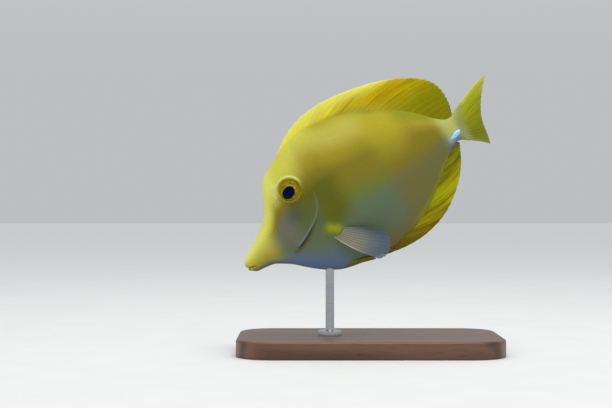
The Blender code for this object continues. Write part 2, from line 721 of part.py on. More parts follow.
def build():
    clear_scene()
    fish = new_collection("yellow_tang")
    cutters = new_collection("cutters")
    skin = material("tang_skin", YELLOW, 0.45)
    fin = material("tang_fin", YELLOW, 0.4)
    web = material("clear_fin", PALE_YELLOW, 0.35)
    eye = material("eye_glass", EYE_DARK, 0.08)
    horn = material("spine_horn", SPINE_WHITE, 0.3)

    flesh, flank, clearance = flesh_pieces(fish, cutters)
    finishes = {piece: skin for piece in flesh}
    dorsal = median_fin("dorsal_fin", DORSAL_RAYS, DORSAL, "crest", fish)
    anal = median_fin("anal_fin", ANAL_RAYS, ANAL, "keel", fish)
    meets_skin = {dorsal: fin, anal: fin}
    for name, side in SIDES.items():
        finishes[eyeball("eye_" + name, flank, side, 0, fish)] = eye
        meets_skin[paired_fin("pectoral_fin_" + name, PECTORAL_RAYS, PECTORAL, side, flank, fish)] = web
        meets_skin[paired_fin("pelvic_fin_" + name, PELVIC_RAYS, PELVIC, side, flank, fish)] = fin
        meets_skin[tail_spine("tail_spine_" + name, side, flank, fish)] = horn
    for piece in meets_skin:
        combine(piece, clearance, "DIFFERENCE")
        keep_largest(piece)
    finishes.update(meets_skin)
    finishes[caudal_fin(fish)] = fin

    pose = bpy.data.objects.new("pose", None)
    fish.objects.link(pose)
    pose.location = Vector((SNOUT_X, 0, SNOUT_HEIGHT)) * MM
    pose.rotation_euler = (0, -math.radians(PITCH), 0)
    clearance.parent = pose
    table = swing_table()
    for piece in finishes:
        swing(piece, table)
        piece.parent = pose
    bpy.context.view_layer.update()

    finishes[stand_base(fish, cutters)] = material("walnut", WALNUT, 0.4)
    finishes[stand_rod(clearance, fish)] = material("steel", STEEL, 0.3, 1.0)
    for piece, finish in finishes.items():
        piece.data.materials.clear()
        piece.data.materials.append(finish)
        piece.data.shade_smooth()
        piece.data.set_sharp_from_angle(angle=math.radians(40))


build()
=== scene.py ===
"""A yellow tang as a life-size museum model: the skin, fins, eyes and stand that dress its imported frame.

The fish is shaped in its own level frame, in mm, as in the part's source: x from the snout to the tail, z up
its back and y to its right, with the origin at the tip of the upper lip. The swing of the tail is then bent
into every piece, and the fish is pitched nose down over its stand. Each piece keeps its level place in an
attribute, so that its markings follow the fish.
"""

import math

import bmesh
import bpy
import numpy as np
from mathutils import Matrix, Vector, noise
from mathutils.bvhtree import BVHTree


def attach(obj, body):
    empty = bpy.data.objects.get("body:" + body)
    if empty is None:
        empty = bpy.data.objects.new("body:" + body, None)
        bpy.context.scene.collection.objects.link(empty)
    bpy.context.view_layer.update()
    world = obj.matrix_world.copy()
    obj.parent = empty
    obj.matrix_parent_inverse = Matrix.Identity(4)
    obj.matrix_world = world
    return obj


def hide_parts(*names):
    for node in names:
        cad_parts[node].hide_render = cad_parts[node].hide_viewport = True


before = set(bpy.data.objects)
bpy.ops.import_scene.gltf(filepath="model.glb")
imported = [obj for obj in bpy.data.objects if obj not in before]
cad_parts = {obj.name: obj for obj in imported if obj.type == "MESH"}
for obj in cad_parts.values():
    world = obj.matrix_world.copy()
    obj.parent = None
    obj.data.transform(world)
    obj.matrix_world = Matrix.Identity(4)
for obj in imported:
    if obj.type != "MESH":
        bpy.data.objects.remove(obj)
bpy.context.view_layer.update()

MM = 0.001
SIDES = {"left": -1, "right": 1}

# The pose: the fish's pitch in degrees, and where the tip of its snout stands.
PITCH = 30.0
SNOUT_X = -57.0
SNOUT_HEIGHT = 40.0

# The body's table of offsets: x and z of the crest, then x and z of the keel, at each frame.
FRAMES = (
    (-0.35, 0.5, -0.1, -1.1),
    (-0.1, 1.5, 0.4, -2.3),
    (0.6, 2.4, 1.4, -3.4),
    (2.4, 3.8, 3.4, -4.7),
    (6.0, 6.0, 7.0, -5.0),
    (11.0, 9.3, 11.5, -5.7),
    (15.4, 12.8, 15.5, -7.8),
    (18.9, 16.8, 19.5, -10.4),
    (21.9, 22.2, 23.5, -14.0),
    (24.5, 28.0, 27.5, -17.4),
    (28.5, 32.3, 32.0, -20.6),
    (35.5, 36.1, 38.0, -23.6),
    (42.5, 39.6, 45.0, -25.2),
    (50.5, 41.5, 53.0, -26.2),
    (60.0, 41.6, 62.0, -26.4),
    (70.0, 40.2, 71.5, -25.0),
    (80.0, 37.4, 80.5, -22.2),
    (90.0, 32.8, 89.5, -17.2),
    (98.5, 27.0, 97.5, -11.0),
    (105.5, 20.8, 104.5, -4.9),
    (110.5, 15.6, 110.0, -0.8),
    (114.8, 12.8, 114.8, 1.0),
    (118.2, 13.1, 118.0, 0.3),
    (121.0, 14.3, 120.6, -1.3),
)
# Half the body's width along x.
HALF_WIDTHS = (
    (-0.3, 1.0), (0.2, 1.8), (1.0, 2.5), (3.0, 3.2), (6.5, 3.8), (11.0, 4.6), (15.5, 5.6), (20.0, 6.8),
    (25.0, 7.9), (31.0, 8.9), (40.0, 9.6), (52.0, 9.7), (64.0, 9.1), (76.0, 8.1), (88.0, 6.8), (98.0, 5.3),
    (106.0, 4.1), (112.0, 3.2), (116.0, 2.3), (121.0, 0.3),
)
# How keen the crest and the keel are along x: 1 is an ellipse, and more is a sharper edge.
CREST_KEENNESS = (
    (0.0, 0.85), (12.0, 0.85), (26.0, 0.95), (42.0, 1.3), (52.0, 1.7), (96.0, 1.7), (110.0, 1.1),
    (121.0, 0.7),
)
KEEL_KEENNESS = (
    (0.0, 0.85), (12.0, 0.9), (30.0, 1.1), (50.0, 1.15), (100.0, 1.3), (112.0, 0.95), (121.0, 0.7),
)
# The skin's mesh: the space between its rings, the points round each, and the domed caps at both ends.
SKIN_STEP = 0.62
SKIN_AROUND = 236
MEASURING_STEPS = 3000
CAP_STEPS = 5
CAP_DEPTH = 0.3
WELD = 0.004
# How far to one side of the body a ray starts that looks for its surface.
CLEAR_OF_BODY = 50.0
# The nodes that the skin stands for.
FLESH = ("head", "lower_jaw", "gill_cover_left", "gill_cover_right", "trunk", "tail_stem")

# Lines on the head, as x and z seen from the side.
GILL_OPENING = (
    (24.5, -4.8), (27.0, -4.1), (30.0, -2.8), (34.0, -0.6), (37.5, 1.6), (40.3, 4.0), (42.6, 7.0),
    (44.0, 10.2), (44.8, 13.5), (45.0, 16.5),
)
GAPE = ((-3.0, -1.1), (0.6, -1.3), (2.6, -1.75), (4.3, -2.5))
CHEEK_RIDGE = ((27.5, -1.2), (31.5, 0.6), (35.2, 3.6), (37.8, 7.6), (39.0, 11.8))
# The gill cover's edge stands up, falls off forwards over its slope, and steps down into a groove.
GILL = {"edge": 0.38, "slope": 3.4, "step": 0.16, "groove": 0.5, "groove_width": 1.0}
CHEEK_HEIGHT = 0.16
# The line of the mouth thins from its first x and ends at the second.
MOUTH = {"width": 0.24, "depth": 0.55, "thins": (3.6, 5.0)}

# Each lip runs back and down from its tip to a corner of the mouth, and thins on the way.
UPPER_LIP = {"tip_x": 0.35, "back": 3.3, "half_width": 2.95, "z": -0.45, "fall": 0.8, "radius": 0.75}
LOWER_LIP = {"tip_x": 0.8, "back": 2.7, "half_width": 2.8, "z": -2.2, "fall": 0.5, "radius": 0.75}
LIP_STEPS = 48
LIP_THINNING = 0.6

EYE = {"x": 34.9, "z": 20.5, "radius": 5.1, "depth": 3.3, "sunk": 1.9}
# The iris is dished at so many radii of the pupil. The front is how far out the ball bears it.
EYE_DISH = {"depth": 0.22, "at": 1.25, "width": 0.22, "dome": 0.05, "front": (-1.8, -0.8)}
# The ring of skin round the eye, and the hollow that the eye sits in.
ORBIT = {"radius": 5.95, "width": 0.55, "height": 0.55, "lip": (4.35, 5.65), "hollow": 1.5}
# Lines of colour round the eye, a painted highlight on the rim, painted shade below it and the ring's own
# tone: the radius and the width of each.
ORBIT_LINES = {"orbit_rim_highlight": (6.05, 0.42), "orbit_shade": (5.85, 0.32), "orbit_ring": (5.2, 0.6)}
PUPIL = {"x": -0.85, "z": -0.9, "long": 3.3, "short": 2.7, "tilt": 20.0}
# Nostrils: x, z and radius.
NOSTRILS = ((24.8, 18.5, 0.42), (27.3, 19.2, 0.52))
NOSTRIL_DEPTH = 0.3
NOSTRIL_RIM = {"height": 0.12, "width": 0.3}
# The fleshy lobe that the pectoral fin grows from.
PECTORAL_LOBE = {"centre": (43.7, -5.5), "half_length": 1.7, "tilt": -35.0}
LOBE = {"crown": 0.3, "radius": 3.8, "height": 1.6}
# The painted highlight before the eye, and the folded pelvic fin's yellow streak. Each fades out over its
# reach.
SHEEN = {"centre": (28.7, 23.0), "half_length": 2.4, "tilt": 73.0}
SHEEN_REACH = 1.6
KEEL_STREAK = {"centre": (47.0, -25.6), "half_length": 6.5, "tilt": -9.0}
STREAK_REACH = (0.4, 2.6)
# Painted shade, soft and dark, under the eye and over the pectoral lobe: x, z and radius.
SHADES = {"cheek_shade": (31.6, 9.4, 4.2), "lobe_shade": (46.6, -2.6, 4.5)}
# A faint unevenness of the whole skin behind the snout.
UNEVEN = {"height": 0.1, "scale": 0.12, "grows": (4.0, 12.0)}
# Where the skin's mesh is made finer: how far round each detail, and the longest edge left there.
EYE_ZONE = {"reach": 8.0, "edge": 0.34}
GILL_ZONE = {"reach": 1.6, "clear_of_middle": 2.0, "edge": 0.28}
DETAIL_ZONE = {"mouth_x": 6.5, "mouth_z": 5.0, "nostril": 1.6, "sheath": 2.2, "edge": 0.24}

# Fins: each row is one driving ray, and the fin's own rays are spaced evenly between them.
# Median fins: x of the ray's root on the body, x and z of its tip, and how far its middle bows forward.
DORSAL_RAYS = (
    (36.4, 37.9, 37.5, 0.1), (41.6, 44.2, 42.3, 0.3), (46.0, 54.5, 47.0, 0.6), (52.0, 68.0, 48.4, 1.0),
    (59.0, 82.0, 47.0, 1.3), (66.5, 94.0, 44.3, 1.4), (74.0, 103.2, 41.2, 1.4), (80.5, 110.4, 37.6, 1.4),
    (87.0, 116.0, 33.2, 1.3), (93.5, 119.0, 28.2, 1.1), (100.5, 120.0, 22.2, 0.8), (107.6, 119.7, 17.2, 0.5),
    (114.2, 118.8, 13.5, 0.1),
)
ANAL_RAYS = (
    (56.0, 59.0, -28.0, -0.2), (59.3, 70.0, -29.4, -0.4), (63.5, 80.0, -28.9, -0.6),
    (68.5, 90.0, -26.1, -0.8), (74.5, 98.2, -21.5, -0.9), (81.5, 105.9, -15.0, -0.9),
    (91.0, 111.4, -8.2, -0.7), (102.0, 114.3, -2.7, -0.5), (112.5, 115.6, 0.2, -0.2),
)
# Tail fin, spread flat: the root's height as a share of the stem's end, x and z of the tip, and the bow.
CAUDAL_RAYS = (
    (0.98, 143.9, 24.1, 0.5), (0.86, 141.4, 19.9, 0.4), (0.68, 138.6, 14.6, 0.2), (0.50, 136.8, 8.6, 0.0),
    (0.32, 136.6, 2.6, -0.2), (0.14, 138.6, -4.2, -0.4), (0.0, 140.6, -9.6, -0.5),
)
# How far the lowest root lies from the last frame but one towards the last. The highest lies on the former.
CAUDAL_SLANT = 0.35
# Paired fins: x and z of the root and of the tip, the bow, and how far the tip stands off the flank.
PECTORAL_RAYS = (
    (41.2, -6.9, 55.0, -27.0, -1.2, 11.5), (41.9, -6.6, 58.2, -27.0, -1.1, 11.0),
    (42.6, -6.3, 61.2, -25.6, -0.9, 10.0), (43.3, -6.0, 63.2, -23.1, -0.6, 8.8),
    (43.9, -5.6, 63.8, -19.8, -0.3, 7.6), (44.5, -5.3, 62.6, -16.4, 0.0, 6.4),
    (45.0, -5.0, 59.0, -13.6, 0.4, 5.2),
)
PELVIC_RAYS = (
    (39.4, -23.2, 54.0, -27.2, 0.0, 0.2), (39.7, -22.7, 53.7, -26.5, 0.0, 0.6),
    (40.1, -22.2, 52.8, -25.6, 0.0, 1.0), (40.6, -21.7, 50.6, -24.5, 0.0, 1.4),
)
# Each fin's counts of rays and of stiff spines among them, thickness at its root and of its web, height of
# its ridges, how fast the root thins, how far its roots start inside the body, how deep its edge dips between
# rays, and the share of a soft ray's length where it forks. "sweep" turns the right one of a pair back.
DORSAL = {"rays": 30, "spines": 6, "root": 3.8, "web": 0.26, "ridge": 0.34, "thinning": 10, "sunk": 3.8,
          "dip": 0.3, "fork": 0.3}
ANAL = {"rays": 22, "spines": 3, "root": 3.6, "web": 0.26, "ridge": 0.34, "thinning": 9, "sunk": 2.6,
        "dip": 0.3, "fork": 0.3}
CAUDAL = {"rays": 16, "spines": 1, "root": 2.1, "web": 0.26, "ridge": 0.34, "thinning": 4, "dip": 0.25,
          "fork": 0.3}
PECTORAL = {"rays": 11, "spines": 1, "root": 2.5, "web": 0.16, "ridge": 0.24, "thinning": 6, "sunk": 1.6,
            "dip": 0.5, "fork": 1.0, "sweep": 14.0}
PELVIC = {"rays": 6, "spines": 1, "root": 1.3, "web": 0.2, "ridge": 0.3, "thinning": 4, "sunk": 1.0,
          "dip": 0.3, "fork": 0.4, "sweep": 0.0}
COLUMNS_PER_RAY = 10
FIN_ROWS = 44
FIN_ROW_CROWDING = 1.15
# A ridge's half width and how far its branches spread at each fork, as shares of the space between rays.
# Along a ray it is whole from 1 / rise of the length, and loses a share of its height to the tip.
RIDGE = {"spine": 0.2, "ray": 0.15, "narrowing": 0.07, "first_fork": 0.17, "second_fork": 0.065,
         "rise": 5, "fall": 0.45}
# The fleshy root is thinner to both ends of the fin: the stretch of a sine's arch that it follows.
FIN_ROOT = {"start": 0.12, "span": 0.76, "power": 0.6}
# How much of its thickness a fin keeps at its very edge.
FIN_EDGE = 0.25
# The fin's gentle waves, in radians along it and out to its edge, and how they grow outwards.
WAVE = {"along": 9.0, "outward": 2.2, "growth": 1.5}

TAIL_SPINE = {"x": 114.2, "z": 4.4, "length": 7.0, "height": 2.9, "thickness": 2.6, "tilt": 18.0}
TAIL_SPINE_TAPER = 0.45
# The sheath that the blade folds into.
SHEATH = {"centre": (TAIL_SPINE["x"], TAIL_SPINE["z"]), "half_length": 2.4, "tilt": TAIL_SPINE["tilt"]}
SHEATH_RIM = {"at": 1.9, "width": 0.7, "height": 0.1}
SHEATH_ZONE = {**SHEATH, "half_length": 2.6}

# The tail's swing to the fish's right: its heading grows to the stem's end and on to the fin's edge,
# while the fin's upper lobe leans towards the left flank.
SWING_START = 84.0
STEM_END = 121.0
FIN_END = 143.0
STEM_HEADING = 24.0
FIN_HEADING = 52.0
STEM_EASE = 1.6
TWIST_START = 108.0
FIN_TWIST = 27.0
TWIST_EASE = 1.2
TWIST_LIMIT = 1.2
TAIL_AXIS_HEIGHT = 6.4

# The stand: a plate, and a rod with a flange.
BASE = {"length": 122.0, "width": 66.0, "height": 8.0}
# Radius and segments of the plate's rounded corners, of its top edge and of its foot.
CORNER = (16.0, 24)
TOP_EDGE = (1.2, 8)
FOOT_EDGE = (0.4, 2)
ROD = {"x": -18.2, "radius": 2.0, "top": 40.4, "spigot": 5.0, "sides": 64, "sharp": 35.0}
# The bows say how far the middle of the fillet and of the rim's round lies from their corners.
FLANGE = {"radius": 5.5, "height": 2.0, "dome": 0.2, "rim": 0.6, "rim_bow": 0.18, "fillet": 1.0,
          "fillet_bow": 0.3}
GAP = 0.3
# In metres: how near two points count as one, and half the floor's width.
TOUCH = 1e-6
FLOOR_REACH = 4.0

# The skin's tones, as sRGB codes.
TONES = {
    "lemon": "#E6E470", "primrose": "#D2CE50", "straw": "#C2B74E", "ochre": "#A69628",
    "bronze": "#887A24", "olive": "#64661C", "lichen": "#616A44", "moss": "#757E34", "sage": "#66765C",
    "slate": "#687B98", "umber": "#767141", "mauve": "#757361", "wheat": "#B4B766", "lime": "#8F9114",
    "reed": "#969A58", "honey": "#B6A828",
}
# The tones up the flank, from keel to crest, and where along x each set takes over from the last.
# Much of this is painted light and shade from above on a fish that is yellow all over: darker towards
# the keel, blue-grey painted shade on the belly, and painted highlights on the shoulder and snout's top.
SKIN_TONES = (
    (0, 0, ((0.04, "umber"), (0.14, "sage"), (0.35, "sage"), (0.45, "moss"), (0.56, "bronze"),
            (0.64, "bronze"), (0.75, "ochre"), (0.86, "straw"), (0.93, "straw"), (1.0, "honey"))),
    (72, 84, ((0.0, "lime"), (0.06, "umber"), (0.34, "umber"), (0.48, "bronze"), (0.66, "ochre"),
              (0.8, "honey"), (0.93, "honey"), (1.0, "lime"))),
    (88, 98, ((0.0, "lime"), (0.07, "umber"), (0.32, "umber"), (0.48, "bronze"), (0.6, "bronze"),
              (0.79, "ochre"), (0.9, "lime"), (1.0, "lime"))),
    (106, 113, ((0.0, "slate"), (0.1, "slate"), (0.5, "wheat"), (1.0, "wheat"))),
    (115, 120, ((0.0, "reed"), (0.7, "reed"), (1.0, "wheat"))),
    (62, 50, ((0.0, "sage"), (0.28, "sage"), (0.4, "olive"), (0.62, "olive"), (0.71, "bronze"),
              (0.8, "ochre"), (0.9, "straw"), (1.0, "primrose"))),
    (47, 38, ((0.08, "slate"), (0.22, "sage"), (0.42, "lichen"), (0.6, "olive"), (0.69, "bronze"),
              (0.78, "straw"), (0.88, "primrose"), (1.0, "primrose"))),
    (34, 26, ((0.1, "slate"), (0.25, "sage"), (0.4, "mauve"), (0.55, "mauve"), (0.66, "bronze"),
              (0.78, "primrose"), (0.88, "lemon"))),
    (22, 12, ((0.0, "mauve"), (0.05, "mauve"), (0.16, "reed"), (0.3, "honey"), (0.5, "straw"),
              (0.66, "primrose"), (0.85, "lemon"))),
)

# The camera: its place in mm, and the width in mm that it sees at the fish's middle plane.
CAMERA = (-29.3, -600.0, 68.8)
SEEN_WIDTH = 284.65
SENSOR_WIDTH = 36.0
# The light: in metres and watts.
OVERHEAD = {"place": (0.05, -0.12, 0.75), "target": (0.0, 0.0, 0.08), "size": 0.6, "power": 2.9}


def colour(code):
    """An sRGB hex code as linear red, green, blue and alpha."""
    channels = [int(code[k : k + 2], 16) / 255 for k in (1, 3, 5)]
    return (*[c / 12.92 if c <= 0.04045 else ((c + 0.055) / 1.055) ** 2.4 for c in channels], 1.0)


def add(tree, kind, inputs=None, **settings):
    """Adds a node with its settings and its links or values. Gives its first live output."""
    made = tree.nodes.new(kind)
    for name, value in settings.items():
        setattr(made, name, value)
    for key, value in (inputs or {}).items():
        if isinstance(value, bpy.types.NodeSocket):
            tree.links.new(value, made.inputs[key])
        else:
            made.inputs[key].default_value = value
    return next((socket for socket in made.outputs if socket.enabled), None)


def attribute(tree, name, output="Fac"):
    return add(tree, "ShaderNodeAttribute", attribute_name=name).node.outputs[output]


def stretched(tree, scale, rotation=(0, 0, 0)):
    """Places on the object, stretched for a pattern that runs one way."""
    place = add(tree, "ShaderNodeTexCoord").node.outputs["Object"]
    return add(tree, "ShaderNodeMapping", {"Vector": place, "Rotation": rotation, "Scale": scale})


def noisy(tree, place, scale, detail, roughness=0.5):
    inputs = {"Vector": place, "Scale": scale, "Detail": detail, "Roughness": roughness}
    return add(tree, "ShaderNodeTexNoise", inputs)


def ramp(tree, value, stops):
    """A ramp through sRGB codes, each at its place."""
    made = add(tree, "ShaderNodeValToRGB", {"Fac": value})
    elements = made.node.color_ramp.elements
    while len(elements) < len(stops):
        elements.new(1.0)
    for element, (place, code) in zip(elements, stops):
        element.position = place
        element.color = colour(code)
    return made


def reckon(tree, operation, *inputs):
    return add(tree, "ShaderNodeMath", dict(enumerate(inputs)), operation=operation)


def remap(tree, value, low, high, to_low=0.0, to_high=1.0, smooth=False):
    """A value carried from one range to another, and held at its ends."""
    inputs = {"Value": value, "From Min": low, "From Max": high, "To Min": to_low, "To Max": to_high}
    return add(tree, "ShaderNodeMapRange", inputs, interpolation_type="SMOOTHSTEP" if smooth else "LINEAR")


def mixed(tree, share, shade, other):
    """A colour turned by a share into another, which is an sRGB code or a socket."""
    other = colour(other) if isinstance(other, str) else other
    return add(tree, "ShaderNodeMix", {0: share, 6: shade, 7: other}, data_type="RGBA")


def roughen(tree, shader, strength, distance, **inputs):
    """Gives a shader fine relief, from a height and perhaps on top of another's normal."""
    bumpy = add(tree, "ShaderNodeBump", {**inputs, "Strength": strength, "Distance": distance})
    tree.links.new(bumpy, shader.inputs["Normal"])


def finish(name, roughness, **values):
    """A new material. Gives it with its node tree and its shader, whose plain sockets are set by name."""
    made = bpy.data.materials.new(name)
    made.use_nodes = True
    shader = made.node_tree.nodes["Principled BSDF"]
    shader.inputs["Roughness"].default_value = roughness
    for key, value in values.items():
        shader.inputs[key.replace("_", " ").title().replace("Ior", "IOR")].default_value = value
    return made, made.node_tree, shader


def spline_at(rows, places):
    """A Catmull-Rom curve through every row, at places counted in rows."""
    rows = np.array(rows, float)
    padded = np.vstack([2 * rows[0] - rows[1], rows, 2 * rows[-1] - rows[-2]])
    places = np.asarray(places, float)
    k = np.clip(places.astype(int), 0, len(rows) - 2)
    t = (places - k)[:, None]
    a, b, c, d = padded[k], padded[k + 1], padded[k + 2], padded[k + 3]
    square = (2 * a - 5 * b + 4 * c - d) * t**2
    cube = (3 * b - a - 3 * c + d) * t**3
    return (2 * b + (c - a) * t + square + cube) / 2


def spline(rows, per_span=8):
    """The same curve at even places, so many to a span."""
    return spline_at(rows, np.linspace(0, len(rows) - 1, (len(rows) - 1) * per_span + 1))


def along(table, x):
    """The value of a smooth table of (x, value) pairs at each x."""
    dense = spline(table)
    return np.interp(x, dense[:, 0], dense[:, 1])


def ease(value, low, high):
    """0 at low, 1 at high, held beyond both and smooth between."""
    share = np.clip((value - low) / (high - low), 0, 1)
    return share * share * (3 - 2 * share)


def bell(value, width):
    """1 at 0, falling to nothing over two widths or so on either side."""
    return np.exp(-((value / width) ** 2))


def ring_shape(places):
    """The body's cross sections at places counted in frames, with a column for each point round it."""
    table = spline_at(FRAMES, places)
    middle = (table[:, 0] + table[:, 2]) / 2
    half_width = along(HALF_WIDTHS, middle)[:, None]
    crest_power = along(CREST_KEENNESS, middle)[:, None]
    keel_power = along(KEEL_KEENNESS, middle)[:, None]
    angle = np.linspace(0, 2 * math.pi, SKIN_AROUND + 1)[None, :]
    share = (1 - np.cos(angle)) / 2
    power = np.where(share < 0.5, crest_power, keel_power)
    sine = np.sin(angle)
    x = table[:, [0]] + (table[:, [2]] - table[:, [0]]) * share
    y = -half_width * np.sign(sine) * np.abs(sine) ** power
    z = table[:, [1]] + (table[:, [3]] - table[:, [1]]) * share
    return np.stack([x, y, z], axis=2)


def body_shape():
    """Every ring of the body's skin, with a domed cap at both ends that closes to a point."""
    dense = np.linspace(0, len(FRAMES) - 1, MEASURING_STEPS)
    crest_x, crest_z, keel_x, keel_z = np.diff(spline_at(FRAMES, dense), axis=0).T
    steps = np.hypot(crest_x, crest_z) + np.hypot(keel_x, keel_z)
    travelled = np.concatenate([[0], np.cumsum(steps / 2)])
    count = int(travelled[-1] / SKIN_STEP)
    rings = ring_shape(np.interp(np.linspace(0, travelled[-1], count), travelled, dense))
    caps = []
    for ring, outward in ((rings[0], -1), (rings[-1], 1)):
        centre = ring[:-1].mean(axis=0)
        cap = []
        for step in range(CAP_STEPS):
            turn = math.pi / 2 * step / CAP_STEPS
            out = [outward * CAP_DEPTH * math.cos(turn), 0, 0]
            cap.append(centre + (ring - centre) * math.sin(turn) + out)
        caps.append(np.array(cap))
    return np.concatenate([caps[0], rings, caps[1][::-1]])


def follow(line, x, z):
    """How far each point is from a side-view line, positive to the left of its run, and how far along."""
    dense = spline(line)
    start, step = dense[:-1], np.diff(dense, axis=0)
    best = np.full(x.shape, np.inf)
    signed = np.zeros(x.shape)
    share = np.zeros(x.shape)
    for k, ((a_x, a_z), (d_x, d_z)) in enumerate(zip(start, step)):
        t = np.clip(((x - a_x) * d_x + (z - a_z) * d_z) / (d_x**2 + d_z**2), 0, 1)
        away_x, away_z = x - a_x - t * d_x, z - a_z - t * d_z
        away = np.hypot(away_x, away_z)
        nearer = away < best
        best = np.where(nearer, away, best)
        signed = np.where(nearer, np.copysign(away, d_x * away_z - d_z * away_x), signed)
        share = np.where(nearer, (k + t) / len(step), share)
    return signed, share


def crest_and_keel(x):
    """The heights of the body's crest and keel at x."""
    dense = spline(FRAMES)
    return np.interp(x, dense[:, 0], dense[:, 1]), np.interp(x, dense[:, 2], dense[:, 3])


def surface(flank, x, z, side):
    """The place and the normal of the body's surface at x and z, seen from one side."""
    start = Vector((x, side * CLEAR_OF_BODY, z))
    return flank.ray_cast(start, Vector((0, -side, 0)))[:2]


def swing_table():
    """Along x: the bent centreline's x and y, its heading and its twist."""
    step = 0.25
    xs = np.arange(SWING_START, FIN_END + 10, step)
    stem = np.clip((xs - SWING_START) / (STEM_END - SWING_START), 0, 1)
    fin = np.clip((xs - STEM_END) / (FIN_END - STEM_END), 0, 1)
    leaning = np.clip((xs - TWIST_START) / (FIN_END - TWIST_START), 0, TWIST_LIMIT)
    more = (FIN_HEADING - STEM_HEADING) * np.sin(fin * math.pi / 2)
    heading = np.radians(STEM_HEADING * stem**STEM_EASE + more)
    twist = np.radians(FIN_TWIST * leaning**TWIST_EASE)
    bent_x = SWING_START + np.concatenate([[0], np.cumsum(np.cos(heading[:-1]) * step)])
    bent_y = np.concatenate([[0], np.cumsum(np.sin(heading[:-1]) * step)])
    return xs, bent_x, bent_y, heading, twist


SWING = swing_table()


def posed(level):
    """Points of the level fish, in mm, bent into the swing of its tail and set in the part's frame."""
    x, y, z = level.T
    centre_x, centre_y, heading, twist = (np.interp(x, SWING[0], column) for column in SWING[1:])
    height = z - TAIL_AXIS_HEIGHT
    across = y * np.cos(twist) - height * np.sin(twist)
    up = y * np.sin(twist) + height * np.cos(twist)
    bent = x > SWING_START
    x = np.where(bent, centre_x - across * np.sin(heading), x)
    y = np.where(bent, centre_y + across * np.cos(heading), y)
    z = np.where(bent, TAIL_AXIS_HEIGHT + up, z)
    tilt = math.radians(PITCH)
    away = SNOUT_X + x * math.cos(tilt) - z * math.sin(tilt)
    above = SNOUT_HEIGHT + x * math.sin(tilt) + z * math.cos(tilt)
    return np.stack([away, y, above], axis=1) * MM


def coordinates(mesh):
    flat = np.empty(len(mesh.vertices) * 3)
    mesh.vertices.foreach_get("co", flat)
    return flat.reshape(-1, 3)


def note(mesh, name, values):
    """Keeps a number or a vector for each vertex, for a material to read."""
    values = np.asarray(values, float)
    kind, key = ("FLOAT", "value") if values.ndim == 1 else ("FLOAT_VECTOR", "vector")
    mesh.attributes.new(name, kind, "POINT").data.foreach_set(key, values.ravel())


def placed(name, data):
    """A new object in the scene."""
    made = bpy.data.objects.new(name, data)
    bpy.context.scene.collection.objects.link(made)
    return made


def set_out(mesh, name, material, nodes):
    """Makes a finished piece of a mesh: smooth, with its material, and riding in place of its nodes."""
    mesh.name = name
    mesh.materials.append(material)
    mesh.shade_smooth()
    piece = placed(name, mesh)
    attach(piece, "root")
    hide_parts(*nodes)


def to_mesh(bm):
    mesh = bpy.data.meshes.new("piece")
    bm.to_mesh(mesh)
    bm.free()
    return mesh


def pose_mesh(mesh):
    """Notes each vertex's level place, in mm, and moves it into the pose."""
    level = coordinates(mesh)
    note(mesh, "level", level)
    mesh.vertices.foreach_set("co", posed(level).ravel())
    mesh.update()


def refine(bm, zone, longest):
    """Halves the edges in a zone, given as a function of places, until none there is over the longest."""
    for _ in range(3):
        places = np.array([v.co for v in bm.verts])
        inside = zone(*places.T)
        bm.verts.index_update()
        edges = []
        for edge in bm.edges:
            a, b = (v.index for v in edge.verts)
            if inside[a] and inside[b] and edge.calc_length() > longest:
                edges.append(edge)
        if not edges:
            break
        bmesh.ops.subdivide_edges(bm, edges=edges, cuts=1, use_grid_fill=True)


def lip_points(lip):
    """Centres and radii round the mouth from corner to corner."""
    turn = math.pi * (np.arange(LIP_STEPS + 1) / LIP_STEPS - 0.5)
    back = 1 - np.cos(turn)
    x = lip["tip_x"] + lip["back"] * back
    z = lip["z"] - lip["fall"] * back
    radius = lip["radius"] * (1 - LIP_THINNING * back**3)
    return np.stack([x, lip["half_width"] * np.sin(turn), z], axis=1), radius


def lip_swell(places, normals, lip):
    """How far the skin rises over a lip."""
    swell = np.zeros(len(places))
    for centre, radius in zip(*lip_points(lip)):
        reach = centre - places
        rise = (reach * normals).sum(axis=1)
        room = rise**2 - (reach**2).sum(axis=1) + radius**2
        swell = np.maximum(swell, np.where(room > 0, rise + np.sqrt(np.maximum(room, 0)), 0))
    return np.minimum(swell, 2 * lip["radius"])


def capsule(x, z, centre, half_length, tilt):
    """How far each side-view point is from a short line through a centre."""
    turn = math.radians(tilt)
    run = (x - centre[0]) * math.cos(turn) + (z - centre[1]) * math.sin(turn)
    side = -(x - centre[0]) * math.sin(turn) + (z - centre[1]) * math.cos(turn)
    return np.hypot(np.maximum(np.abs(run) - half_length, 0), side)


